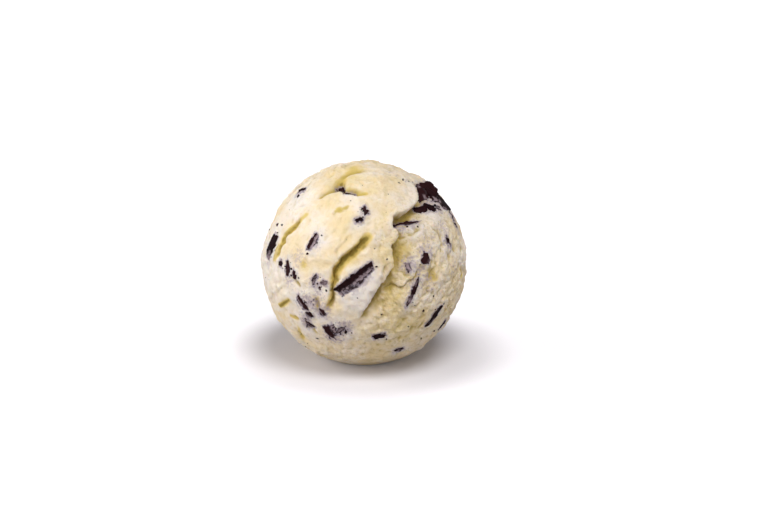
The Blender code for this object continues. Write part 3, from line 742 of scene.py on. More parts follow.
    def crumbs(self, normals: np.ndarray) -> np.ndarray:
        """The grain: crumbs of two sizes, strong where the ice cream is rough, and slow dimples all over.

        Args:
            normals: Unit vectors from the ball's centre.

        Returns:
            Radial rise.
        """
        points = normals * BALL_RADIUS
        bent = points + self.crumb_bend * noise(points / self.crumb_bend_size, Seed.CRUMB_BEND)[:, None]
        rough = self.roughness(normals)
        crumbs = self.crumb_height * (granules(bent / self.crumb_size, Seed.CRUMBS) - 0.5) * rough
        grit = self.grit_height * (granules(bent / self.grit_size, Seed.GRIT) - 0.55)
        grit *= self.least_grit + (1.0 - self.least_grit) * rough
        dimples = self.dimple_height * noise(bent / self.dimple_size, Seed.DIMPLES)
        return crumbs + grit + dimples

    def calm(self, normals: np.ndarray) -> np.ndarray:
        """0 at the height of the table, 1 above the calm height: the relief's share there."""
        return ease(0.0, CALM_HEIGHT, CENTRE_HEIGHT + normals[:, 2] * BALL_RADIUS)

    def place(self, normals: np.ndarray, rise: np.ndarray, shift: np.ndarray) -> np.ndarray:
        """Points in space: centre + direction x (radius + rise) + shift, with both fading out to the
        underside, which is flat.

        Args:
            normals: Unit vectors from the ball's centre.
            rise: Radial rise in metres.
            shift: Sideways shift in metres.

        Returns:
            The points.
        """
        calm = self.calm(normals)
        points = normals * (BALL_RADIUS + rise * calm)[:, None] + shift * calm[:, None]
        points[:, 2] = np.maximum(points[:, 2] + CENTRE_HEIGHT, 0.0)
        return points


@dataclass(frozen=True)
class FlakeSpread:
    """Flakes for the sides, back and top, drawn at random. Lengths in millimetres."""

    count: int = 64
    jitter: float = 0.06
    clearance: float = 3.6 * MM
    front_reach: float = -0.10
    lengths: tuple[float, float] = (2.0, 8.5)
    slimness: tuple[float, float] = (0.25, 0.55)
    least_width: float = 1.3
    tilts: tuple[float, float] = (2.0, 16.0)

    def build(self) -> list[Flake]:
        """Draws them on an even spiral of directions, each jittered, and keeps those that are clear of
        the front, of the underside and of each other.

        Returns:
            The flakes.
        """
        turn_step = math.pi * (3.0 - math.sqrt(5.0))
        random = np.random.default_rng(Seed.FLAKE_SPREAD)
        towards = view_axes(Side.FRONT)[2]
        taken = [flake.normal for flake in FLAKES]
        found = []
        for number in range(self.count):
            height = 1.0 - 2.0 * (number + 0.5) / self.count
            ring = math.sqrt(1.0 - height * height)
            angle = number * turn_step
            normal = np.array([ring * math.cos(angle), ring * math.sin(angle), height])
            normal += random.normal(size=3) * self.jitter
            normal /= np.linalg.norm(normal)
            length, slim = random.uniform(*self.lengths), random.uniform(*self.slimness)
            turn, tilt = random.uniform(0.0, 180.0), random.uniform(*self.tilts)
            gaps = [np.linalg.norm(normal - other) * BALL_RADIUS for other in taken]
            low = normal[2] * BALL_RADIUS + CENTRE_HEIGHT < CALM_HEIGHT
            if low or normal @ towards > self.front_reach or min(gaps) < self.clearance:
                continue
            taken.append(normal)
            side = math.degrees(math.atan2(normal[0], -normal[1]))
            right, up, _ = view_axes(side)
            width = max(self.least_width, length * slim)
            found.append(Flake(side, normal @ right, normal @ up, length, width, turn, tilt))
        return found


@dataclass(frozen=True)
class Shard:
    """A flake laid in its place: the middle of its top face, its ways along, across and out, its
    corners, how high its middle is over the ice cream, how much its top face rises for each metre
    across, how far its low edge is buried, and its tone."""

    origin: np.ndarray
    axes: np.ndarray
    corners: np.ndarray
    rise: float
    slope: float
    buried: float
    tone: float

    @property
    def half_width(self) -> float:
        """How far its farthest corner lies from its long middle line."""
        return np.abs(self.corners[:, 1]).max()

    def local(self, points: np.ndarray) -> np.ndarray:
        """Points in the flake's own frame."""
        return (points - self.origin) @ self.axes.T

    def top(self, x: np.ndarray, y: np.ndarray) -> np.ndarray:
        """Height of its top face: a slope across, less the distance squared over the ball's diameter."""
        return self.slope * y - (x**2 + y**2) / (2.0 * BALL_RADIUS)

    def edge_gap(self, x: np.ndarray, y: np.ndarray) -> np.ndarray:
        """Distance outside its outline, negative inside: the largest step beyond any of its sides.

        Args:
            x: Metres along the flake.
            y: Metres across it.

        Returns:
            The distance of each place.
        """
        sides = np.roll(self.corners, -1, axis=0) - self.corners
        out = np.column_stack([sides[:, 1], -sides[:, 0]])
        out /= np.linalg.norm(out, axis=1)[:, None]
        reach = (self.corners * out).sum(1)
        return (x[:, None] * out[:, 0] + y[:, None] * out[:, 1] - reach).max(1)


@dataclass(frozen=True)
class ShardBed:
    """Lays flakes in the ice cream and works out what they do to its surface."""

    surface: ScoopSurface
    proud: float = 0.32 * MM
    corner_count: int = 6
    corner_turn: float = 0.28
    corner_spread: tuple[float, float] = (0.78, 1.12)
    squareness: float = 0.6
    press_reach: float = 1.1 * MM
    most_pressed: float = 1.8 * MM
    most_raised: float = 0.5 * MM
    edge_shows: float = 0.12 * MM
    edge_hides: float = -0.05 * MM
    calm_reach: float = 1.2 * MM
    most_calmed: float = 0.8
    show_depth: float = 0.34 * MM
    under_reach: float = 1.6
    least_shown: float = 0.15
    haze_reach: float = 1.7 * MM
    haze_depth: float = 3.0 * MM
    stain_reach: float = 0.7 * MM
    stain_depth: float = 1.6 * MM
    stain_strength: float = 0.72
    least_stain: float = 0.62
    least_haze: float = 0.4
    largest: float = 11.0 * MM

    def lay(self, flake: Flake, number: int) -> Shard:
        """Sets a flake on the ice cream: its plane is fitted to four places on the smooth form round
        its middle, its raised long edge stands proud, and its face falls from there by the tilt.

        Args:
            flake: The flake.
            number: Its number, which seeds its corners.

        Returns:
            The flake in its place.
        """
        normal, length_way, width_way = flake.axes
        x, y = 0.3 * flake.length * MM / BALL_RADIUS, 0.4 * flake.width * MM / BALL_RADIUS
        tries = normal + np.array([[0, 0], [x, 0], [-x, 0], [0, y], [0, -y]]) @ [length_way, width_way]
        tries /= np.linalg.norm(tries, axis=1)[:, None]
        middle, ahead, behind, left, right = self.surface.place(tries, *self.surface.form(tries))
        out = np.cross(ahead - behind, left - right)
        out /= np.linalg.norm(out)
        along = ahead - behind
        along -= (along @ out) * out
        along /= np.linalg.norm(along)
        slope = math.tan(math.radians(flake.tilt))
        centre = 0.5 * middle + 0.125 * (ahead + behind + left + right)
        random = np.random.default_rng(Seed.FLAKES + number)
        count, most = self.corner_count, self.corner_turn
        angles = (np.arange(count) + 0.5 + random.uniform(-most, most, count)) * 2.0 * math.pi / count
        spread = random.uniform(*self.corner_spread, count)
        round_it = np.column_stack([np.cos(angles), np.sin(angles)])
        halves = np.array([0.5 * flake.length * MM, 0.5 * flake.width * MM])
        corners = halves * np.sign(round_it) * np.abs(round_it) ** self.squareness * spread[:, None]
        sink = self.proud - slope * flake.width * MM
        rise = self.proud - 0.5 * slope * flake.width * MM
        buried = float(ease(self.edge_shows, self.edge_hides, np.array(sink)))
        axes = np.array([along, np.cross(out, along), out])
        return Shard(centre + rise * out, axes, corners, rise, slope, buried, random.uniform())

    def around(self, points: np.ndarray, shards: list[Shard]) -> Iterator[tuple[Shard, np.ndarray]]:
        """Goes through the flakes.

        Args:
            points: Points of the surface.
            shards: The flakes.

        Yields:
            Each flake, and which of the points it can reach.
        """
        for shard in shards:
            yield shard, np.linalg.norm(points - shard.origin, axis=1) < self.largest

    def press(self, points: np.ndarray, shards: list[Shard]) -> np.ndarray:
        """Moves the smooth form of the ice cream onto the plane that each flake was laid for.

        Args:
            points: Points of the smooth form.
            shards: The flakes.

        Returns:
            The points, moved along each flake's outward way under and close round it.
        """
        pressed = points.copy()
        for shard, near in self.around(points, shards):
            x, y, z = shard.local(pressed[near]).T
            share = 1.0 - ease(0.0, self.press_reach, shard.edge_gap(x, y))
            step = -shard.rise - (x**2 + y**2) / (2.0 * BALL_RADIUS) - z
            share *= 1.0 - ease(0.6, 1.2, np.abs(step) / self.most_pressed)
            step = np.clip(step, -self.most_pressed, self.most_raised)
            pressed[near] += (share * step)[:, None] * shard.axes[2]
        return pressed

    def calm(self, points: np.ndarray, shards: list[Shard]) -> tuple[np.ndarray, np.ndarray]:
        """How much of the grain is left at each point: little beside a flake's raised edge, and all of
        it over its sunken side. There the ice cream's edge is torn, in a band as wide as the flake.

        Args:
            points: Points of the surface.
            shards: The flakes.

        Returns:
            The grain's share and how torn the surface is, from 0 to 1 for each point.
        """
        left, torn = np.ones(len(points)), np.zeros(len(points))
        for shard, near in self.around(points, shards):
            x, y, _ = shard.local(points[near]).T
            aside = y / shard.half_width
            gap = np.maximum(shard.edge_gap(x, y), 0.0)
            raised = np.maximum(ease(-0.5, 0.1, aside), 1.0 - shard.buried)
            close = 1.0 - ease(0.0, self.calm_reach, gap)
            left[near] = np.minimum(left[near], 1.0 - self.most_calmed * raised * close)
            torn[near] = np.maximum(torn[near], ease(0.4, -0.3, aside) * close)
        return left, torn

    def marks(self, points: np.ndarray, shards: list[Shard]) -> dict[Mask, np.ndarray]:
        """What the flakes do to the ice cream's colour. The stain is broken bits round a flake, and the
        haze is frost round it: bell curves of the distance from its outline. The veil is how strongly
        the flake shows through the ice cream over it: 1 at no depth, falling as e to the power of minus
        depth over the show depth. A flake reaches on under the ice cream past its sunken edge.

        Args:
            points: Points of the surface.
            shards: The flakes.

        Returns:
            The stain, the haze and the veil at each point, from 0 to 1.
        """
        stain, haze, veil = np.zeros((3, len(points)))
        for shard, near in self.around(points, shards):
            x, y, z = shard.local(points[near]).T
            aside = y / shard.half_width
            gap = np.maximum(shard.edge_gap(x, y), 0.0)
            found = np.exp(-((gap / self.stain_reach) ** 2) - (z / self.stain_depth) ** 2)
            share = self.least_stain + (1.0 - self.least_stain) * ease(-0.7, 0.2, aside)
            stain[near] = np.maximum(stain[near], found * (self.stain_strength * share))
            reach = 1.0 + (self.under_reach - 1.0) * shard.buried
            gap = shard.edge_gap(x, np.where(y < 0.0, y / reach, y))
            found = np.exp(-((np.maximum(gap, 0.0) / self.haze_reach) ** 2) - (z / self.haze_depth) ** 2)
            share = self.least_haze + (1.0 - self.least_haze) * ease(0.6, -0.6, aside)
            haze[near] = np.maximum(haze[near], found * share)
            inside = 1.0 - ease(-0.3 * MM, 0.4 * MM, gap)
            depth = np.maximum(z - shard.top(x, y), 0.0)
            found = inside * np.exp(-depth / self.show_depth)
            found *= self.least_shown + (1.0 - self.least_shown) * shard.buried
            veil[near] = np.maximum(veil[near], found)
        return {Mask.STAIN: stain, Mask.HAZE: haze, Mask.VEIL: veil}


def cube_sphere(steps: int) -> tuple[np.ndarray, np.ndarray]:
    """Even directions all round: the six faces of a cube, each a grid of tangents of even angles, drawn
    in to the unit sphere and joined along their edges.

    Args:
        steps: Quads along a cube's edge.

    Returns:
        Unit vectors, and the quads over them.
    """
    row, column = np.divmod(np.arange((steps + 1) ** 2), steps + 1)
    first = (row * (steps + 1) + column).reshape(steps + 1, steps + 1)[:-1, :-1].ravel()
    patch = np.column_stack([first, first + steps + 1, first + steps + 2, first + 1])
    corners, quads = [], []
    for axis in range(3):
        for end in (0, steps):
            face = np.empty((len(row), 3), int)
            face[:, axis] = end
            face[:, (axis + 1) % 3] = row
            face[:, (axis + 2) % 3] = column
            quads.append((patch if end else patch[:, ::-1]) + len(row) * len(corners))
            corners.append(face)
    lattice, joined = np.unique(np.vstack(corners), axis=0, return_inverse=True)
    rays = np.tan((2.0 * lattice / steps - 1.0) * math.pi / 4.0)
    return rays / np.linalg.norm(rays, axis=1)[:, None], joined.ravel()[np.vstack(quads)]


class Piece:
    """A piece of the scoop, which has one material slot."""

    slot: Slot

    def dress(self, made: bpy.types.Object, material: bpy.types.Material) -> None:
        """Gives the piece its finish and its place in the frame.

        Args:
            made: The piece's object.
            material: Its finish.
        """
        made.data.materials.append(material)
        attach(made, "root")
        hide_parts("scoop")


@dataclass(frozen=True)
class IceCreamBall(Piece):
    """The ice cream: one closed skin over the whole ball."""

    slot = Slot.ICE_CREAM
    surface: ScoopSurface
    bed: ShardBed
    steps: int = 128
    smear_height: float = 0.22 * MM
    smear_size: float = 0.85 * MM
    near_turns: int = 20
    near_depth: float = 0.4 * MM
    crest_height: float = 0.3 * MM
    wide_turns: int = 240
    wide_depth: float = 1.0 * MM

    def build(self, shards: list[Shard]) -> bpy.types.Object:
        """Makes the skin and keeps its masks.

        Args:
            shards: The flakes that lie in it.

        Returns:
            The ball.
        """
        normals, quads = cube_sphere(self.steps)
        smooth = self.bed.press(self.surface.place(normals, *self.surface.form(normals)), shards)
        left, torn = self.bed.calm(smooth, shards)
        grain = self.surface.crumbs(normals) * left * self.surface.calm(normals)
        grain += self.smear_height * torn * noise(smooth / self.smear_size, Seed.SMEARS)
        points = smooth + grain[:, None] * normals
        points[:, 2] = np.maximum(points[:, 2], 0.0)
        ball = mesh_object("ice_cream_ball", points, quads)
        marks = self.bed.marks(points, shards)
        marks[Mask.STAIN] = np.maximum(marks[Mask.STAIN], bells(normals, SMEARS))
        # Painted shade in hollows, and painted highlight with some frost on raised places, from the relief
        marks[Mask.CREASE_SHADE], marks[Mask.CREST_FROST_AND_HIGHLIGHT] = self.cavity(ball, points, normals)
        # Yellow tint with painted shade in hollows, and frosty white with painted highlight on lit places
        marks[Mask.TINT_AND_PAINTED_LIGHT] = bells(normals, TINTS_AND_PAINTED_LIGHT + SHADE_STREAKS)
        marks[Mask.ROUGH] = self.surface.roughness(normals)
        for mask, values in marks.items():
            store(ball, mask, values)
        return ball

    def cavity(self, ball: bpy.types.Object, points: np.ndarray,
               normals: np.ndarray) -> tuple[np.ndarray, np.ndarray]:
        """How far each point lies under its surroundings: its height less the mean height round it, for
        a near and a wide mean, each made by averaging along edges again and again. The finish paints
        shade into the hollows and highlight onto the crests from these.

        Args:
            ball: The skin.
            points: Its points.
            normals: The direction of each.

        Returns:
            Two shares for each point: how deep down it lies, and how far it stands up.
        """
        edges = np.empty(len(ball.data.edges) * 2, np.int32)
        ball.data.edges.foreach_get("vertices", edges)
        first, second = edges.reshape(-1, 2).T
        degree = np.bincount(edges, minlength=len(points))
        height = ((points - [0.0, 0.0, CENTRE_HEIGHT]) * normals).sum(1)
        mean = height.copy()
        for turn in range(1, self.wide_turns + 1):
            around = np.bincount(first, mean[second], len(points))
            around += np.bincount(second, mean[first], len(points))
            mean = 0.5 * mean + 0.5 * around / degree
            if turn == self.near_turns:
                found = ease(0.0, self.near_depth, mean - height) * 0.7
                crest_frost_and_highlight = ease(0.0, self.crest_height, height - mean)
        return np.clip(found + ease(0.0, self.wide_depth, mean - height), 0.0, 1.0), crest_frost_and_highlight


@dataclass(frozen=True)
class FlakeSet(Piece):
    """All the flakes, as one mesh of broken plates."""

    slot = Slot.CHOCOLATE
    around: int = 96
    rings: int = 7
    thickness: float = 1.2 * MM
    bevel: float = 0.07 * MM
    side_rows: tuple[float, float] = (0.45 * MM, 0.9 * MM)
    foot_share: float = 0.94
    chip_height: float = 0.55 * MM
    fine_chip_height: float = 0.30 * MM
    chip_size: float = 1.0 * MM
    wave_height: float = 0.10 * MM
    wave_size: float = 1.6 * MM
    bump_height: float = 0.05 * MM

    def outline(self, shard: Shard, number: int) -> np.ndarray:
        """The flake's edge: points evenly spaced round its corners, chipped in and out by noise.

        Args:
            shard: The flake.
            number: Its number, which seeds the chips.

        Returns:
            Points in metres along and across the flake.
        """
        closed = np.vstack([shard.corners, shard.corners[:1]])
        walked = np.concatenate([[0.0], np.linalg.norm(np.diff(closed, axis=0), axis=1).cumsum()])
        stops = np.linspace(0.0, walked[-1], self.around, endpoint=False)
        edge = np.column_stack([np.interp(stops, walked, way) for way in closed.T])
        place = np.column_stack([edge / self.chip_size, np.full(self.around, 7.3 * number)])
        chips = self.chip_height * noise(place, Seed.CHIPS)
        chips += self.fine_chip_height * noise(place * 2.3, Seed.FINE_CHIPS)
        out = edge / np.linalg.norm(edge, axis=1)[:, None]
        return edge + out * chips[:, None]

    def plate(self, shard: Shard, number: int) -> tuple[np.ndarray, np.ndarray]:
        """One flake's points: rings that run from the middle of the top out to the edge, over a small
        bevel, down the side and in under it. The top is uneven by noise. The film of ice cream is an S
        across the flake, thickest at its sunken edge, and the films' bell curves.

        Args:
            shard: The flake.
            number: Its number, which seeds its surface.

        Returns:
            Points in space, and how far each lies under a film of ice cream.
        """
        edge = self.outline(shard, number)
        size = np.linalg.norm(edge, axis=1).mean()
        inner = np.linspace(0.0, 1.0 - self.bevel / size, self.rings)[1:]
        share = np.concatenate([inner, [1, 1, 1, self.foot_share]])
        down = np.array([0.0] * (self.rings - 1) + [self.bevel, *self.side_rows, self.thickness])
        flat = np.vstack([[[0.0, 0.0]], (share[:, None, None] * edge).reshape(-1, 2), [[0.0, 0.0]]])
        low = np.concatenate([[0.0], np.repeat(down, self.around), [self.thickness]])
        x, y = flat.T
        place = np.column_stack([flat / self.wave_size, np.full(len(flat), 3.1 * number)])
        waves = self.wave_height * noise(place * [0.6, 1.6, 1.0], Seed.WAVES)
        waves += self.bump_height * (granules(place * 2.6, Seed.BUMPS) - 0.5)
        z = shard.top(x, y) - low + waves * (low < self.bevel * 0.5)
        sunk = (0.15 + 0.65 * shard.buried) * ease(0.6, -0.9, y / shard.half_width)
        points = shard.origin + np.column_stack([x, y, z]) @ shard.axes
        out = points - [0.0, 0.0, CENTRE_HEIGHT]
        return points, np.maximum(sunk, bells(out / np.linalg.norm(out, axis=1)[:, None], FILMS))

    def build(self, shards: list[Shard]) -> bpy.types.Object:
        """Makes all the flakes.

        Args:
            shards: The flakes.

        Returns:
            One object with every flake.
        """
        ring = np.arange(self.around)
        after = (ring + 1) % self.around
        rows = self.rings + 3
        starts = 1 + np.arange(rows - 1)[:, None] * self.around
        quads = np.stack([starts + ring, starts + self.around + ring, starts + self.around + after,
                          starts + after], axis=-1).reshape(-1, 4)
        last = 1 + (rows - 1) * self.around
        fans = np.vstack([
            np.column_stack([np.zeros_like(ring), 1 + ring, 1 + after]),
            np.column_stack([np.full_like(ring, last + self.around), last + after, last + ring]),
        ])
        each = last + self.around + 1
        made = [self.plate(shard, number) for number, shard in enumerate(shards)]
        offsets = (np.arange(len(shards)) * each)[:, None, None]
        flakes = mesh_object(
            "chocolate_flakes",
            np.vstack([points for points, _ in made]),
            (quads + offsets).reshape(-1, 4),
            (fans + offsets).reshape(-1, 3),
        )
        flakes.data.set_sharp_from_angle(angle=math.radians(50.0))
        store(flakes, Mask.SUNK, np.concatenate([sunk for _, sunk in made]))
        store(flakes, Mask.TONE, np.repeat([shard.tone for shard in shards], each))
        return flakes


@dataclass(frozen=True)
class CrumbSet(Piece):
    """Crumbs of chocolate, finer than the flakes."""

    slot = Slot.CHOCOLATE
    surface: ScoopSurface
    count: int = 260
    steps: int = 2
    planes: int = 7
    least_radius: float = 0.10 * MM
    radius_spread: float = 0.30 * MM
    scatter: float = 0.8 * MM
    beside_flakes: float = 0.8
    sunk_share: float = 0.25

    def places(self, shards: list[Shard]) -> tuple[np.ndarray, np.ndarray]:
        """Where the crumbs lie and how large they are: named places, then draws, most of them beside the
        flakes, past the sunken edge, and the rest all over the ball.

        Args:
            shards: The flakes.

        Returns:
            Unit vectors, and radii in metres.
        """
        random = np.random.default_rng(Seed.CRUMB_PLACES)
        named = directions(Side.FRONT, [(across, up) for across, up, _ in SPECKS])
        free = random.normal(size=(self.count, 3))
        free /= np.linalg.norm(free, axis=1)[:, None]
        hosts = random.integers(0, len(shards), self.count)
        sizes = np.array([np.abs(shard.corners).max(0) for shard in shards])[hosts]
        along = random.uniform(-1.1, 1.1, self.count) * sizes[:, 0]
        across = -sizes[:, 1] * random.uniform(0.2, 1.2, self.count)
        across -= random.exponential(self.scatter, self.count)
        axes = np.array([shard.axes for shard in shards])[hosts]
        host = np.array([shard.origin for shard in shards])[hosts] - [0, 0, CENTRE_HEIGHT]
        host += along[:, None] * axes[:, 0] + across[:, None] * axes[:, 1]
        host /= np.linalg.norm(host, axis=1)[:, None]
        drawn = np.where(random.uniform(size=self.count)[:, None] < self.beside_flakes, host, free)
        drawn = drawn[drawn[:, 2] * BALL_RADIUS + CENTRE_HEIGHT > CALM_HEIGHT]
        sizes = self.least_radius + self.radius_spread * random.uniform(size=len(drawn)) ** 3
        return np.vstack([named, drawn]), np.concatenate([[s * MM for _, _, s in SPECKS], sizes])

    def build(self, shards: list[Shard]) -> bpy.types.Object:
        """Makes the crumbs, each the space inside a few random planes: its radius in a direction is the
        least of height over cosine for those planes.

        Args:
            shards: The flakes.

        Returns:
            One object with every crumb.
        """
        middles, sizes = self.places(shards)
        rays, quads = cube_sphere(self.steps)
        random = np.random.default_rng(Seed.CRUMB_SHAPES)
        planes = random.normal(size=(len(middles), self.planes, 3))
        planes /= np.linalg.norm(planes, axis=2)[..., None]
        heights = random.uniform(0.55, 1.0, (len(middles), self.planes))
        cosines = np.maximum(np.einsum("cpk,rk->cpr", planes, rays), 0.05)
        radii = np.minimum((heights[..., None] / cosines).min(1), 1.5)
        stretch = random.uniform(0.55, 1.5, (len(middles), 1, 3))
        rise, shift = self.surface.form(middles)
        seats = self.surface.place(middles, rise + self.surface.crumbs(middles), shift)
        seats -= self.sunk_share * sizes[:, None] * middles
        points = seats[:, None] + rays * (radii * sizes[:, None])[..., None] * stretch
        offsets = (np.arange(len(middles)) * len(rays))[:, None, None]
        crumbs = mesh_object("chocolate_crumbs", points.reshape(-1, 3), (quads + offsets).reshape(-1, 4))
        crumbs.data.shade_flat()
        store(crumbs, Mask.SUNK, np.full(len(rays) * len(middles), 0.3))
        store(crumbs, Mask.TONE, np.repeat(random.uniform(size=len(middles)), len(rays)))
        return crumbs


class Sheet:
    """A node tree being laid out."""

    def __init__(self, tree: bpy.types.NodeTree) -> None:
        """Starts on a tree."""
        self.tree = tree

    def add(self, kind: str, **settings: object) -> bpy.types.Node:
        """Adds a node.

        Args:
            kind: Its type.
            settings: Its own properties, by name.

        Returns:
            The node.
        """
        node = self.tree.nodes.new(kind)
        for name, value in settings.items():
            setattr(node, name, value)
        return node

    def feed(self, node: bpy.types.Node, values: dict[str | int, Value]) -> None:
        """Sets a node's inputs to numbers and colours, or links them to other sockets.

        Args:
            node: The node.
            values: What each input gets, by its name or number.
        """
        for name, value in values.items():
            socket = node.inputs[name]
            if isinstance(value, Socket):
                self.tree.links.new(value, socket)
            elif isinstance(value, tuple) and len(value) < len(socket.default_value):
                socket.default_value = (*value, 1.0)
            else:
                socket.default_value = value

    def math(self, operation: str, a: Value, b: Value, clamp: bool = False) -> Socket:
        """One sum on two numbers.

        Args:
            operation: Which sum.
            a: The first number.
            b: The second number.
            clamp: Whether to keep the answer between 0 and 1.

        Returns:
            The answer.
        """
        node = self.add("ShaderNodeMath", operation=operation, use_clamp=clamp)
        self.feed(node, {0: a, 1: b})
        return node.outputs[0]

    def times(self, a: Value, b: Value) -> Socket:
        """The product of two numbers."""
        return self.math("MULTIPLY", a, b)

    def layers(self, colour: Value, *coats: tuple[Value, Value]) -> Socket:
        """Paints coats over a colour, one after another.

        Args:
            colour: What lies under them.
            coats: Each coat's share, from 0 to 1, and its colour.

        Returns:
            The colour that shows.
        """
        for share, coat in coats:
            node = self.add("ShaderNodeMix", data_type="RGBA")
            self.feed(node, {0: share, 6: colour, 7: coat})
            colour = node.outputs[2]
        return colour

    def span(self, value: Value, low: float, high: float, start: float = 0.0,
             end: float = 1.0) -> Socket:
        """A smooth share of the way between two values.

        Args:
            value: What is read.
            low: Its value at the start.
            high: Its value at the end.
            start: The share there.
            end: The share at the end.

        Returns:
            The share.
        """
        node = self.add("ShaderNodeMapRange", interpolation_type="SMOOTHSTEP")
        self.feed(node, {"Value": value, "From Min": low, "From Max": high, "To Min": start, "To Max": end})
        return node.outputs["Result"]

    def noise(self, place: Socket, size: float, detail: float, roughness: float) -> Socket:
        """Noise, about 0.5 on the whole.

        Args:
            place: Where it is read.
            size: Metres a wave.
            detail: How many finer waves it has.
            roughness: How strong they are.

        Returns:
            Its value.
        """
        node = self.add("ShaderNodeTexNoise")
        self.feed(node, {"Vector": place, "Scale": 1.0 / size, "Detail": detail, "Roughness": roughness})
        return node.outputs[0]

    def bump(self, height: Socket, strength: float) -> Socket:
        """The normal of a surface with fine relief.

        Args:
            height: The relief's height in metres.
            strength: Its share that shows.

        Returns:
            The normal.
        """
        node = self.add("ShaderNodeBump")
        self.feed(node, {"Strength": strength, "Distance": 1.0, "Height": height})
        return node.outputs["Normal"]

    def place(self) -> Socket:
        """The piece's own coordinates, in metres."""
        return self.add("ShaderNodeTexCoord").outputs["Object"]

    def mask(self, name: Mask) -> Socket:
        """One of the piece's masks."""
        return self.add("ShaderNodeAttribute", attribute_name=name.value).outputs["Fac"]

    def group(self, tree: bpy.types.NodeTree, **values: Value) -> bpy.types.bpy_prop_collection:
        """Places a node group.

        Args:
            tree: The group.
            values: What each of its inputs gets, by name.

        Returns:
            Its outputs.
        """
        node = self.add("ShaderNodeGroup", node_tree=tree)
        self.feed(node, values)
        return node.outputs


def node_group(name: str, inputs: dict[str, float],
               outputs: tuple[str, ...]) -> tuple[Sheet, bpy.types.Node, bpy.types.Node]:
    """Starts a shader node group.

    Args:
        name: The group's name.
        inputs: Its number inputs with their usual values. A vector input, Place, is always there.
        outputs: Its outputs, all numbers.

    Returns:
        The sheet to lay it out on, its input node and its output node.
    """
    tree = bpy.data.node_groups.new(name, "ShaderNodeTree")
    tree.interface.new_socket("Place", in_out="INPUT", socket_type="NodeSocketVector")
    for title, value in inputs.items():
        tree.interface.new_socket(title, in_out="INPUT", socket_type="NodeSocketFloat").default_value = value
    for title in outputs:
        tree.interface.new_socket(title, in_out="OUTPUT", socket_type="NodeSocketFloat")
    sheet = Sheet(tree)
    return sheet, sheet.add("NodeGroupInput"), sheet.add("NodeGroupOutput")


@dataclass(frozen=True)
class MilkyFilm:
    """How ice cream smears thinly over chocolate: patchy, with dark specks left bare."""

    patch: float = 0.9 * MM
    fleck: float = 0.28 * MM
    speckle: float = 1.6

    def build(self) -> bpy.types.NodeTree:
        """Cover is how much film there is. Film comes out as the share that is milky and Fleck as the
        share that is bare chocolate in it, both cut out of noise by the cover.

        Returns:
            The group.
        """
        sheet, given, out = node_group("milky film", {"Cover": 0.5}, ("Film", "Fleck"))
        place, cover = given.outputs["Place"], given.outputs["Cover"]
        patchy = sheet.noise(place, self.patch, 3.0, 0.6)
        fine = sheet.noise(place, self.fleck, 2.0, 0.6)
        height = sheet.math("ADD", cover, sheet.math("SUBTRACT", patchy, 0.5))
        speckled = sheet.math("ADD", height, sheet.times(sheet.math("SUBTRACT", fine, 0.5), self.speckle))
        sheet.feed(out, {"Film": sheet.span(height, 0.28, 0.72), "Fleck": sheet.span(speckled, 0.45, 0.85)})
        return sheet.tree


@dataclass(frozen=True)
class FineGrain:
    """The finest roughness of a frozen surface, as a height in metres."""

    coarse: float = 0.8 * MM
    fine: float = 0.3 * MM

    def build(self) -> bpy.types.NodeTree:
        """Height is two noises, each times its strength.

        Returns:
            The group.
        """
        sheet, given, out = node_group("fine grain", {"Coarse": 0.05 * MM, "Fine": 0.02 * MM}, ("Height",))
        coarse = sheet.noise(given.outputs["Place"], self.coarse, 2.0, 0.55)
        fine = sheet.noise(given.outputs["Place"], self.fine, 2.0, 0.6)
        coarse = sheet.times(coarse, given.outputs["Coarse"])
        fine = sheet.times(fine, given.outputs["Fine"])
        sheet.feed(out, {"Height": sheet.math("ADD", coarse, fine)})
        return sheet.tree


def finish(name: str) -> tuple[bpy.types.Material, Sheet, bpy.types.Node]:
    """Starts a material.

    Args:
        name: Its name.

    Returns:
        The material, the sheet of its nodes and its shader.
    """
    made = bpy.data.materials.new(name)
    made.use_nodes = True
    return made, Sheet(made.node_tree), made.node_tree.nodes["Principled BSDF"]


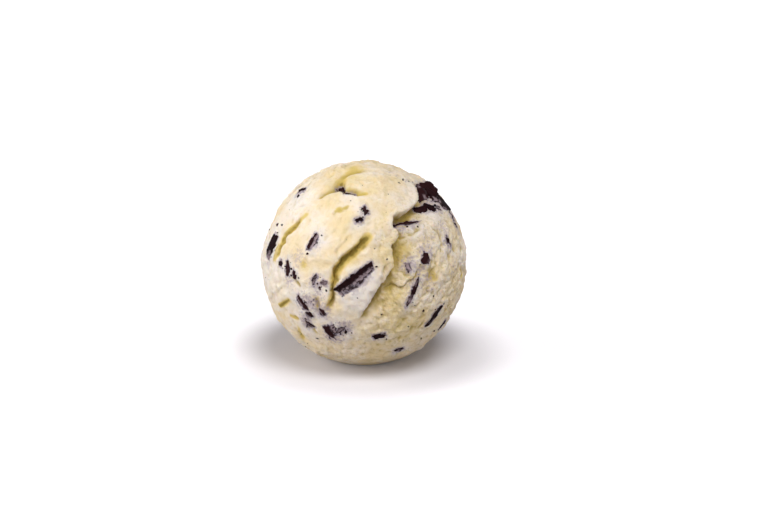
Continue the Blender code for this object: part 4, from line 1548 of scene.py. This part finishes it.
@dataclass(frozen=True)
class IceCreamFinish:
    """Pale cream with painted shade of deep yellow in its folds, painted highlight on its crests, and
    lilac grey over sunken chocolate.
    """

    # white: the frostiest cream, also painted highlight on crests and lit places
    white: Colour = (0.88, 0.80, 0.71)
    pale: Colour = (0.86, 0.75, 0.61)
    cream: Colour = (0.82, 0.66, 0.40)
    custard: Colour = (0.70, 0.53, 0.17)
    # deep: painted shade in hollows and creases
    deep: Colour = (0.45, 0.33, 0.08)
    # painted shade, darkest at the foot of folds
    olive_shade: Colour = (0.25, 0.175, 0.025)
    # painted shade in small pits
    pit_shade: Colour = (0.62, 0.50, 0.24)
    # the stronger yellow tint, mostly painted shade at the foot of folds
    tint_and_painted_light: Colour = (0.58, 0.43, 0.11)
    frosty: Colour = (0.77, 0.72, 0.69)
    lilac: Colour = (0.42, 0.34, 0.37)
    milky: Colour = (0.36, 0.30, 0.34)
    dark: Colour = (0.022, 0.007, 0.009)
    slow_size: float = 7.0 * MM
    patch_size: float = 2.2 * MM
    fine_size: float = 0.8 * MM
    smooth_grain: float = 0.20 * MM
    torn_grain: float = 0.5 * MM
    fine_grain: float = 0.08 * MM
    bump: float = 0.9
    roughness: tuple[float, float] = (0.5, 0.7)
    ior: float = 1.36
    scatter: float = 0.3
    scatter_radius: Colour = (1.0, 0.72, 0.38)
    scatter_scale: float = 0.6 * MM

    def cream_colour(self, sheet: Sheet, patchy: Socket, fine: Socket, rough: Socket) -> Socket:
        """The ice cream's colour with painted shade and highlight: pale cream and cream by slow noise, white
        on its crests as painted highlight with some frost, and by the tint mask white as painted highlight
        to custard as tint and painted shade. It is frosty round the flakes by the haze mask, has painted
        shade in its pits and creases, and painted shade in deep yellow to dark yellow-green where the tint
        mask is strong.

        Args:
            sheet: The material's sheet.
            patchy: Noise of a few millimetres.
            fine: Noise of under a millimetre.
            rough: The rough mask.

        Returns:
            The colour.
        """
        slow = sheet.noise(sheet.place(), self.slow_size, 3.0, 0.55)
        tint_and_painted_light = sheet.times(sheet.mask(Mask.TINT_AND_PAINTED_LIGHT), sheet.span(patchy, 0.35, 0.65, 0.78, 1.15))
        haze = sheet.times(sheet.mask(Mask.HAZE), sheet.span(patchy, 0.3, 0.66, 0.35, 1.0))
        crease_shade = sheet.times(sheet.mask(Mask.CREASE_SHADE), sheet.span(patchy, 0.2, 0.7, 0.75, 1.1))
        return sheet.layers(
            self.pale,
            (sheet.span(slow, 0.38, 0.62), self.cream),
            (sheet.span(patchy, 0.45, 0.62, 0.0, 0.55), self.cream),
            # painted highlight with some frost on raised places
            (sheet.times(sheet.mask(Mask.CREST_FROST_AND_HIGHLIGHT), 0.5), self.white),
            # painted highlight and frost where the tint mask is under 0
            (sheet.span(tint_and_painted_light, 0.0, -0.5, 0.0, 0.9), self.white),
            # yellow tint with painted shade
            (sheet.span(tint_and_painted_light, 0.0, 0.6), self.custard),
            (haze, self.frosty),
            (sheet.span(haze, 0.7, 1.0, 0.0, 0.6), self.lilac),
            # painted shade in small pits, by fine noise where the ice cream is rough
            (sheet.times(sheet.span(fine, 0.46, 0.34), sheet.span(rough, 0.0, 1.0, 0.25, 0.7)), self.pit_shade),
            # painted shade in hollows and creases
            (sheet.math("MULTIPLY", crease_shade, 0.9, clamp=True), self.deep),
            # painted shade at the foot of folds, darkest last
            (sheet.span(tint_and_painted_light, 0.55, 1.0, 0.0, 0.9), self.tint_and_painted_light),
            (sheet.span(tint_and_painted_light, 1.0, 1.4, 0.0, 0.85), self.olive_shade),
        )

    def chocolate_in(self, sheet: Sheet, colour: Socket, fine: Socket, film: bpy.types.NodeTree) -> Socket:
        """Chocolate crushed into the ice cream, lilac to dark by the stain mask with fine noise on it,
        and flakes that show through it, milky to dark by the veil mask.

        Args:
            sheet: The material's sheet.
            colour: The ice cream's own colour.
            fine: Noise of under a millimetre.
            film: The milky film group.

        Returns:
            The colour.
        """
        stain, veil = sheet.mask(Mask.STAIN), sheet.mask(Mask.VEIL)
        ragged = sheet.times(sheet.math("SUBTRACT", fine, 0.5), sheet.span(stain, 0.0, 0.3, 0.0, 1.7))
        stain = sheet.math("ADD", stain, ragged)
        smear = sheet.group(film, Place=sheet.place(), Cover=veil)
        return sheet.layers(
            colour,
            (sheet.span(stain, 0.14, 0.62, 0.0, 0.85), self.lilac),
            (sheet.times(smear["Film"], sheet.span(veil, 0.0, 0.5)), self.milky),
            (sheet.times(smear["Fleck"], sheet.span(veil, 0.4, 1.0)), self.dark),
            (sheet.span(stain, 0.62, 0.80), self.dark),
        )

    def build(self, film: bpy.types.NodeTree, grain: bpy.types.NodeTree) -> bpy.types.Material:
        """Makes the finish: its colour, a soft sheen, light that goes a little way in, and a grain that
        is coarser where the ice cream is rough.

        Args:
            film: The milky film group.
            grain: The fine grain group.

        Returns:
            The material.
        """
        made, sheet, shader = finish("stracciatella_ice_cream")
        place, rough = sheet.place(), sheet.mask(Mask.ROUGH)
        patchy = sheet.noise(place, self.patch_size, 3.0, 0.6)
        fine = sheet.noise(place, self.fine_size, 4.0, 0.65)
        coarse = sheet.span(rough, 0.0, 1.0, self.smooth_grain, self.torn_grain)
        height = sheet.group(grain, Place=place, Coarse=coarse, Fine=self.fine_grain)["Height"]
        sheet.feed(shader, {
            "Base Color": self.chocolate_in(sheet, self.cream_colour(sheet, patchy, fine, rough), fine, film),
            "Roughness": sheet.span(patchy, 0.3, 0.7, *self.roughness),
            "IOR": self.ior,
            "Subsurface Weight": self.scatter,
            "Subsurface Radius": self.scatter_radius,
            "Subsurface Scale": self.scatter_scale,
            "Normal": sheet.bump(height, self.bump),
        })
        return made


@dataclass(frozen=True)
class ChocolateFinish:
    """Dark plum brown chocolate, broken, with a film of ice cream smeared on its sunken side."""

    dark: Colour = (0.010, 0.003, 0.004)
    brown: Colour = (0.028, 0.008, 0.009)
    milky: Colour = (0.38, 0.29, 0.31)
    patch_size: float = 1.1 * MM
    coarse_grain: float = 0.06 * MM
    fine_grain: float = 0.04 * MM
    bump: float = 0.8
    roughness: tuple[float, float] = (0.4, 0.65)
    gloss: float = 0.05

    def build(self, film: bpy.types.NodeTree, grain: bpy.types.NodeTree) -> bpy.types.Material:
        """Makes the finish. Its colour is dark and brown by each flake's tone and by noise, then milky
        by the sunk mask, with dark specks left bare.

        Args:
            film: The milky film group.
            grain: The fine grain group.

        Returns:
            The material.
        """
        made, sheet, shader = finish("dark_chocolate")
        place, sunk = sheet.place(), sheet.mask(Mask.SUNK)
        patchy = sheet.noise(place, self.patch_size, 3.0, 0.6)
        tone = sheet.math("ADD", sheet.times(sheet.mask(Mask.TONE), 0.5), patchy)
        smear = sheet.group(film, Place=place, Cover=sunk)
        colour = sheet.layers(
            self.dark,
            (sheet.span(tone, 0.45, 1.0), self.brown),
            (smear["Film"], self.milky),
            (sheet.times(smear["Fleck"], sheet.span(sunk, 0.9, 0.3, 0.0, 0.6)), self.dark),
        )
        height = sheet.group(grain, Place=place, Coarse=self.coarse_grain, Fine=self.fine_grain)["Height"]
        sheet.feed(shader, {
            "Base Color": colour,
            "Roughness": sheet.span(patchy, 0.3, 0.7, *self.roughness),
            "Specular IOR Level": self.gloss,
            "Normal": sheet.bump(height, self.bump),
        })
        return made


@dataclass(frozen=True)
class SoftLight:
    """Soft even light from far off: where it comes from, in degrees round and above the ball, how
    bright it makes a white sheet that faces it, and how many degrees of the sky it fills."""

    name: str
    azimuth: float
    elevation: float
    brightness: float
    spread: float

    def build(self) -> bpy.types.Object:
        """Hangs the light, turned to the ball.

        Returns:
            The light.
        """
        lamp = bpy.data.lights.new(self.name, "SUN")
        lamp.energy = self.brightness * math.pi
        lamp.angle = math.radians(self.spread)
        made = bpy.data.objects.new(self.name, lamp)
        bpy.context.scene.collection.objects.link(made)
        turn, rise = math.radians(self.azimuth), math.radians(self.elevation)
        source = Vector((math.sin(turn) * math.cos(rise), -math.cos(turn) * math.cos(rise), math.sin(rise)))
        made.location = source
        made.rotation_mode = "QUATERNION"
        made.rotation_quaternion = (-source).to_track_quat("-Z", "Y")
        return made


@dataclass(frozen=True)
class Studio:
    """A plain white table, soft light that is strongest from above and from the left, and the camera.
    The table has one colour to the camera and a darker one in the light that it casts, and from near to
    far it glows for the camera alone, so that it fades out to white."""

    ball_pixels: float = 101.7
    picture_width: int = 768
    distance: float = 0.6
    aside: float = 20.0
    above: float = 7.2
    sky: Colour = (0.98, 0.93, 1.0)
    sky_strength: float = 0.12
    table_seen: Colour = (0.79, 0.77, 0.80)
    table_cast: Colour = (0.52, 0.50, 0.51)
    table_half: float = 3.0
    table_roughness: float = 0.7
    glow: Colour = (1.0, 0.98, 1.0)
    least_glow: float = 0.02
    most_glow: float = 0.42
    near: float = 26.0 * MM
    far: float = 46.0 * MM
    lights: tuple[SoftLight, ...] = (
        SoftLight("left_light", 276.0, 24.0, 0.58, 50.0),
        SoftLight("top_light", 22.0, 66.0, 0.62, 30.0),
        SoftLight("right_light", 94.0, 4.0, 0.17, 60.0),
        SoftLight("front_light", 352.0, 20.0, 0.20, 50.0),
    )

    def build(self) -> None:
        """Lays the table, hangs the lights and sets the camera."""
        self.build_table()
        for light in self.lights:
            light.build()
        world = bpy.data.worlds.new("studio")
        world.use_nodes = True
        background = world.node_tree.nodes["Background"]
        background.inputs["Color"].default_value = (*self.sky, 1.0)
        background.inputs["Strength"].default_value = self.sky_strength
        bpy.context.scene.world = world
        bpy.context.scene.view_settings.view_transform = "Standard"
        self.build_camera()

    def build_table(self) -> None:
        """A wide flat white table top: one quad, centred under the ball."""
        corners = self.table_half * np.array([[-1, -1, 0], [1, -1, 0], [1, 1, 0], [-1, 1, 0]])
        table = mesh_object("table", corners, np.array([[0, 1, 2, 3]]))
        made, sheet, shader = finish("white_table")
        seen = sheet.add("ShaderNodeLightPath").outputs["Is Camera Ray"]
        away = sheet.add("ShaderNodeVectorMath", operation="LENGTH")
        sheet.feed(away, {0: sheet.place()})
        glow = sheet.span(away.outputs["Value"], self.near, self.far, self.least_glow, self.most_glow)
        sheet.feed(shader, {
            "Base Color": sheet.layers(self.table_cast, (seen, self.table_seen)),
            "Emission Color": self.glow,
            "Emission Strength": sheet.times(seen, glow),
            "Roughness": self.table_roughness,
        })
        table.data.materials.append(made)

    def build_camera(self) -> None:
        """Aims the camera so that the ball is as large and stands as far aside as it should."""
        right, up, towards = (Vector(way) for way in view_axes(Side.FRONT))
        pixel = BALL_RADIUS / self.ball_pixels
        lens = bpy.data.cameras.new("camera")
        lens.lens = lens.sensor_width * self.distance / (self.picture_width * pixel)
        camera = bpy.data.objects.new("camera", lens)
        bpy.context.scene.collection.objects.link(camera)
        aim = Vector((0.0, 0.0, CENTRE_HEIGHT)) + (right * self.aside + up * self.above) * pixel
        camera.location = aim + towards * self.distance
        camera.rotation_mode = "QUATERNION"
        camera.rotation_quaternion = (-towards).to_track_quat("-Z", "Y")
        bpy.context.scene.camera = camera


def main() -> None:
    """Builds the scoop's pieces in order, dresses them and lights them."""
    logging.basicConfig(level=logging.INFO, format="%(message)s")
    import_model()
    surface = ScoopSurface()
    bed = ShardBed(surface)
    shards = [bed.lay(flake, number) for number, flake in enumerate(FLAKES + FlakeSpread().build())]
    film, grain = MilkyFilm().build(), FineGrain().build()
    ice_cream = IceCreamFinish().build(film, grain)
    chocolate = ChocolateFinish().build(film, grain)
    pieces = (
        (IceCreamBall(surface, bed), ice_cream),
        (FlakeSet(), chocolate),
        (CrumbSet(surface), chocolate),
    )
    for piece, material in pieces:
        made = piece.build(shards)
        piece.dress(made, material)
        LOG.info("%s: %d faces", made.name, len(made.data.polygons))
    Studio().build()


if __name__ == "__main__":
    main()
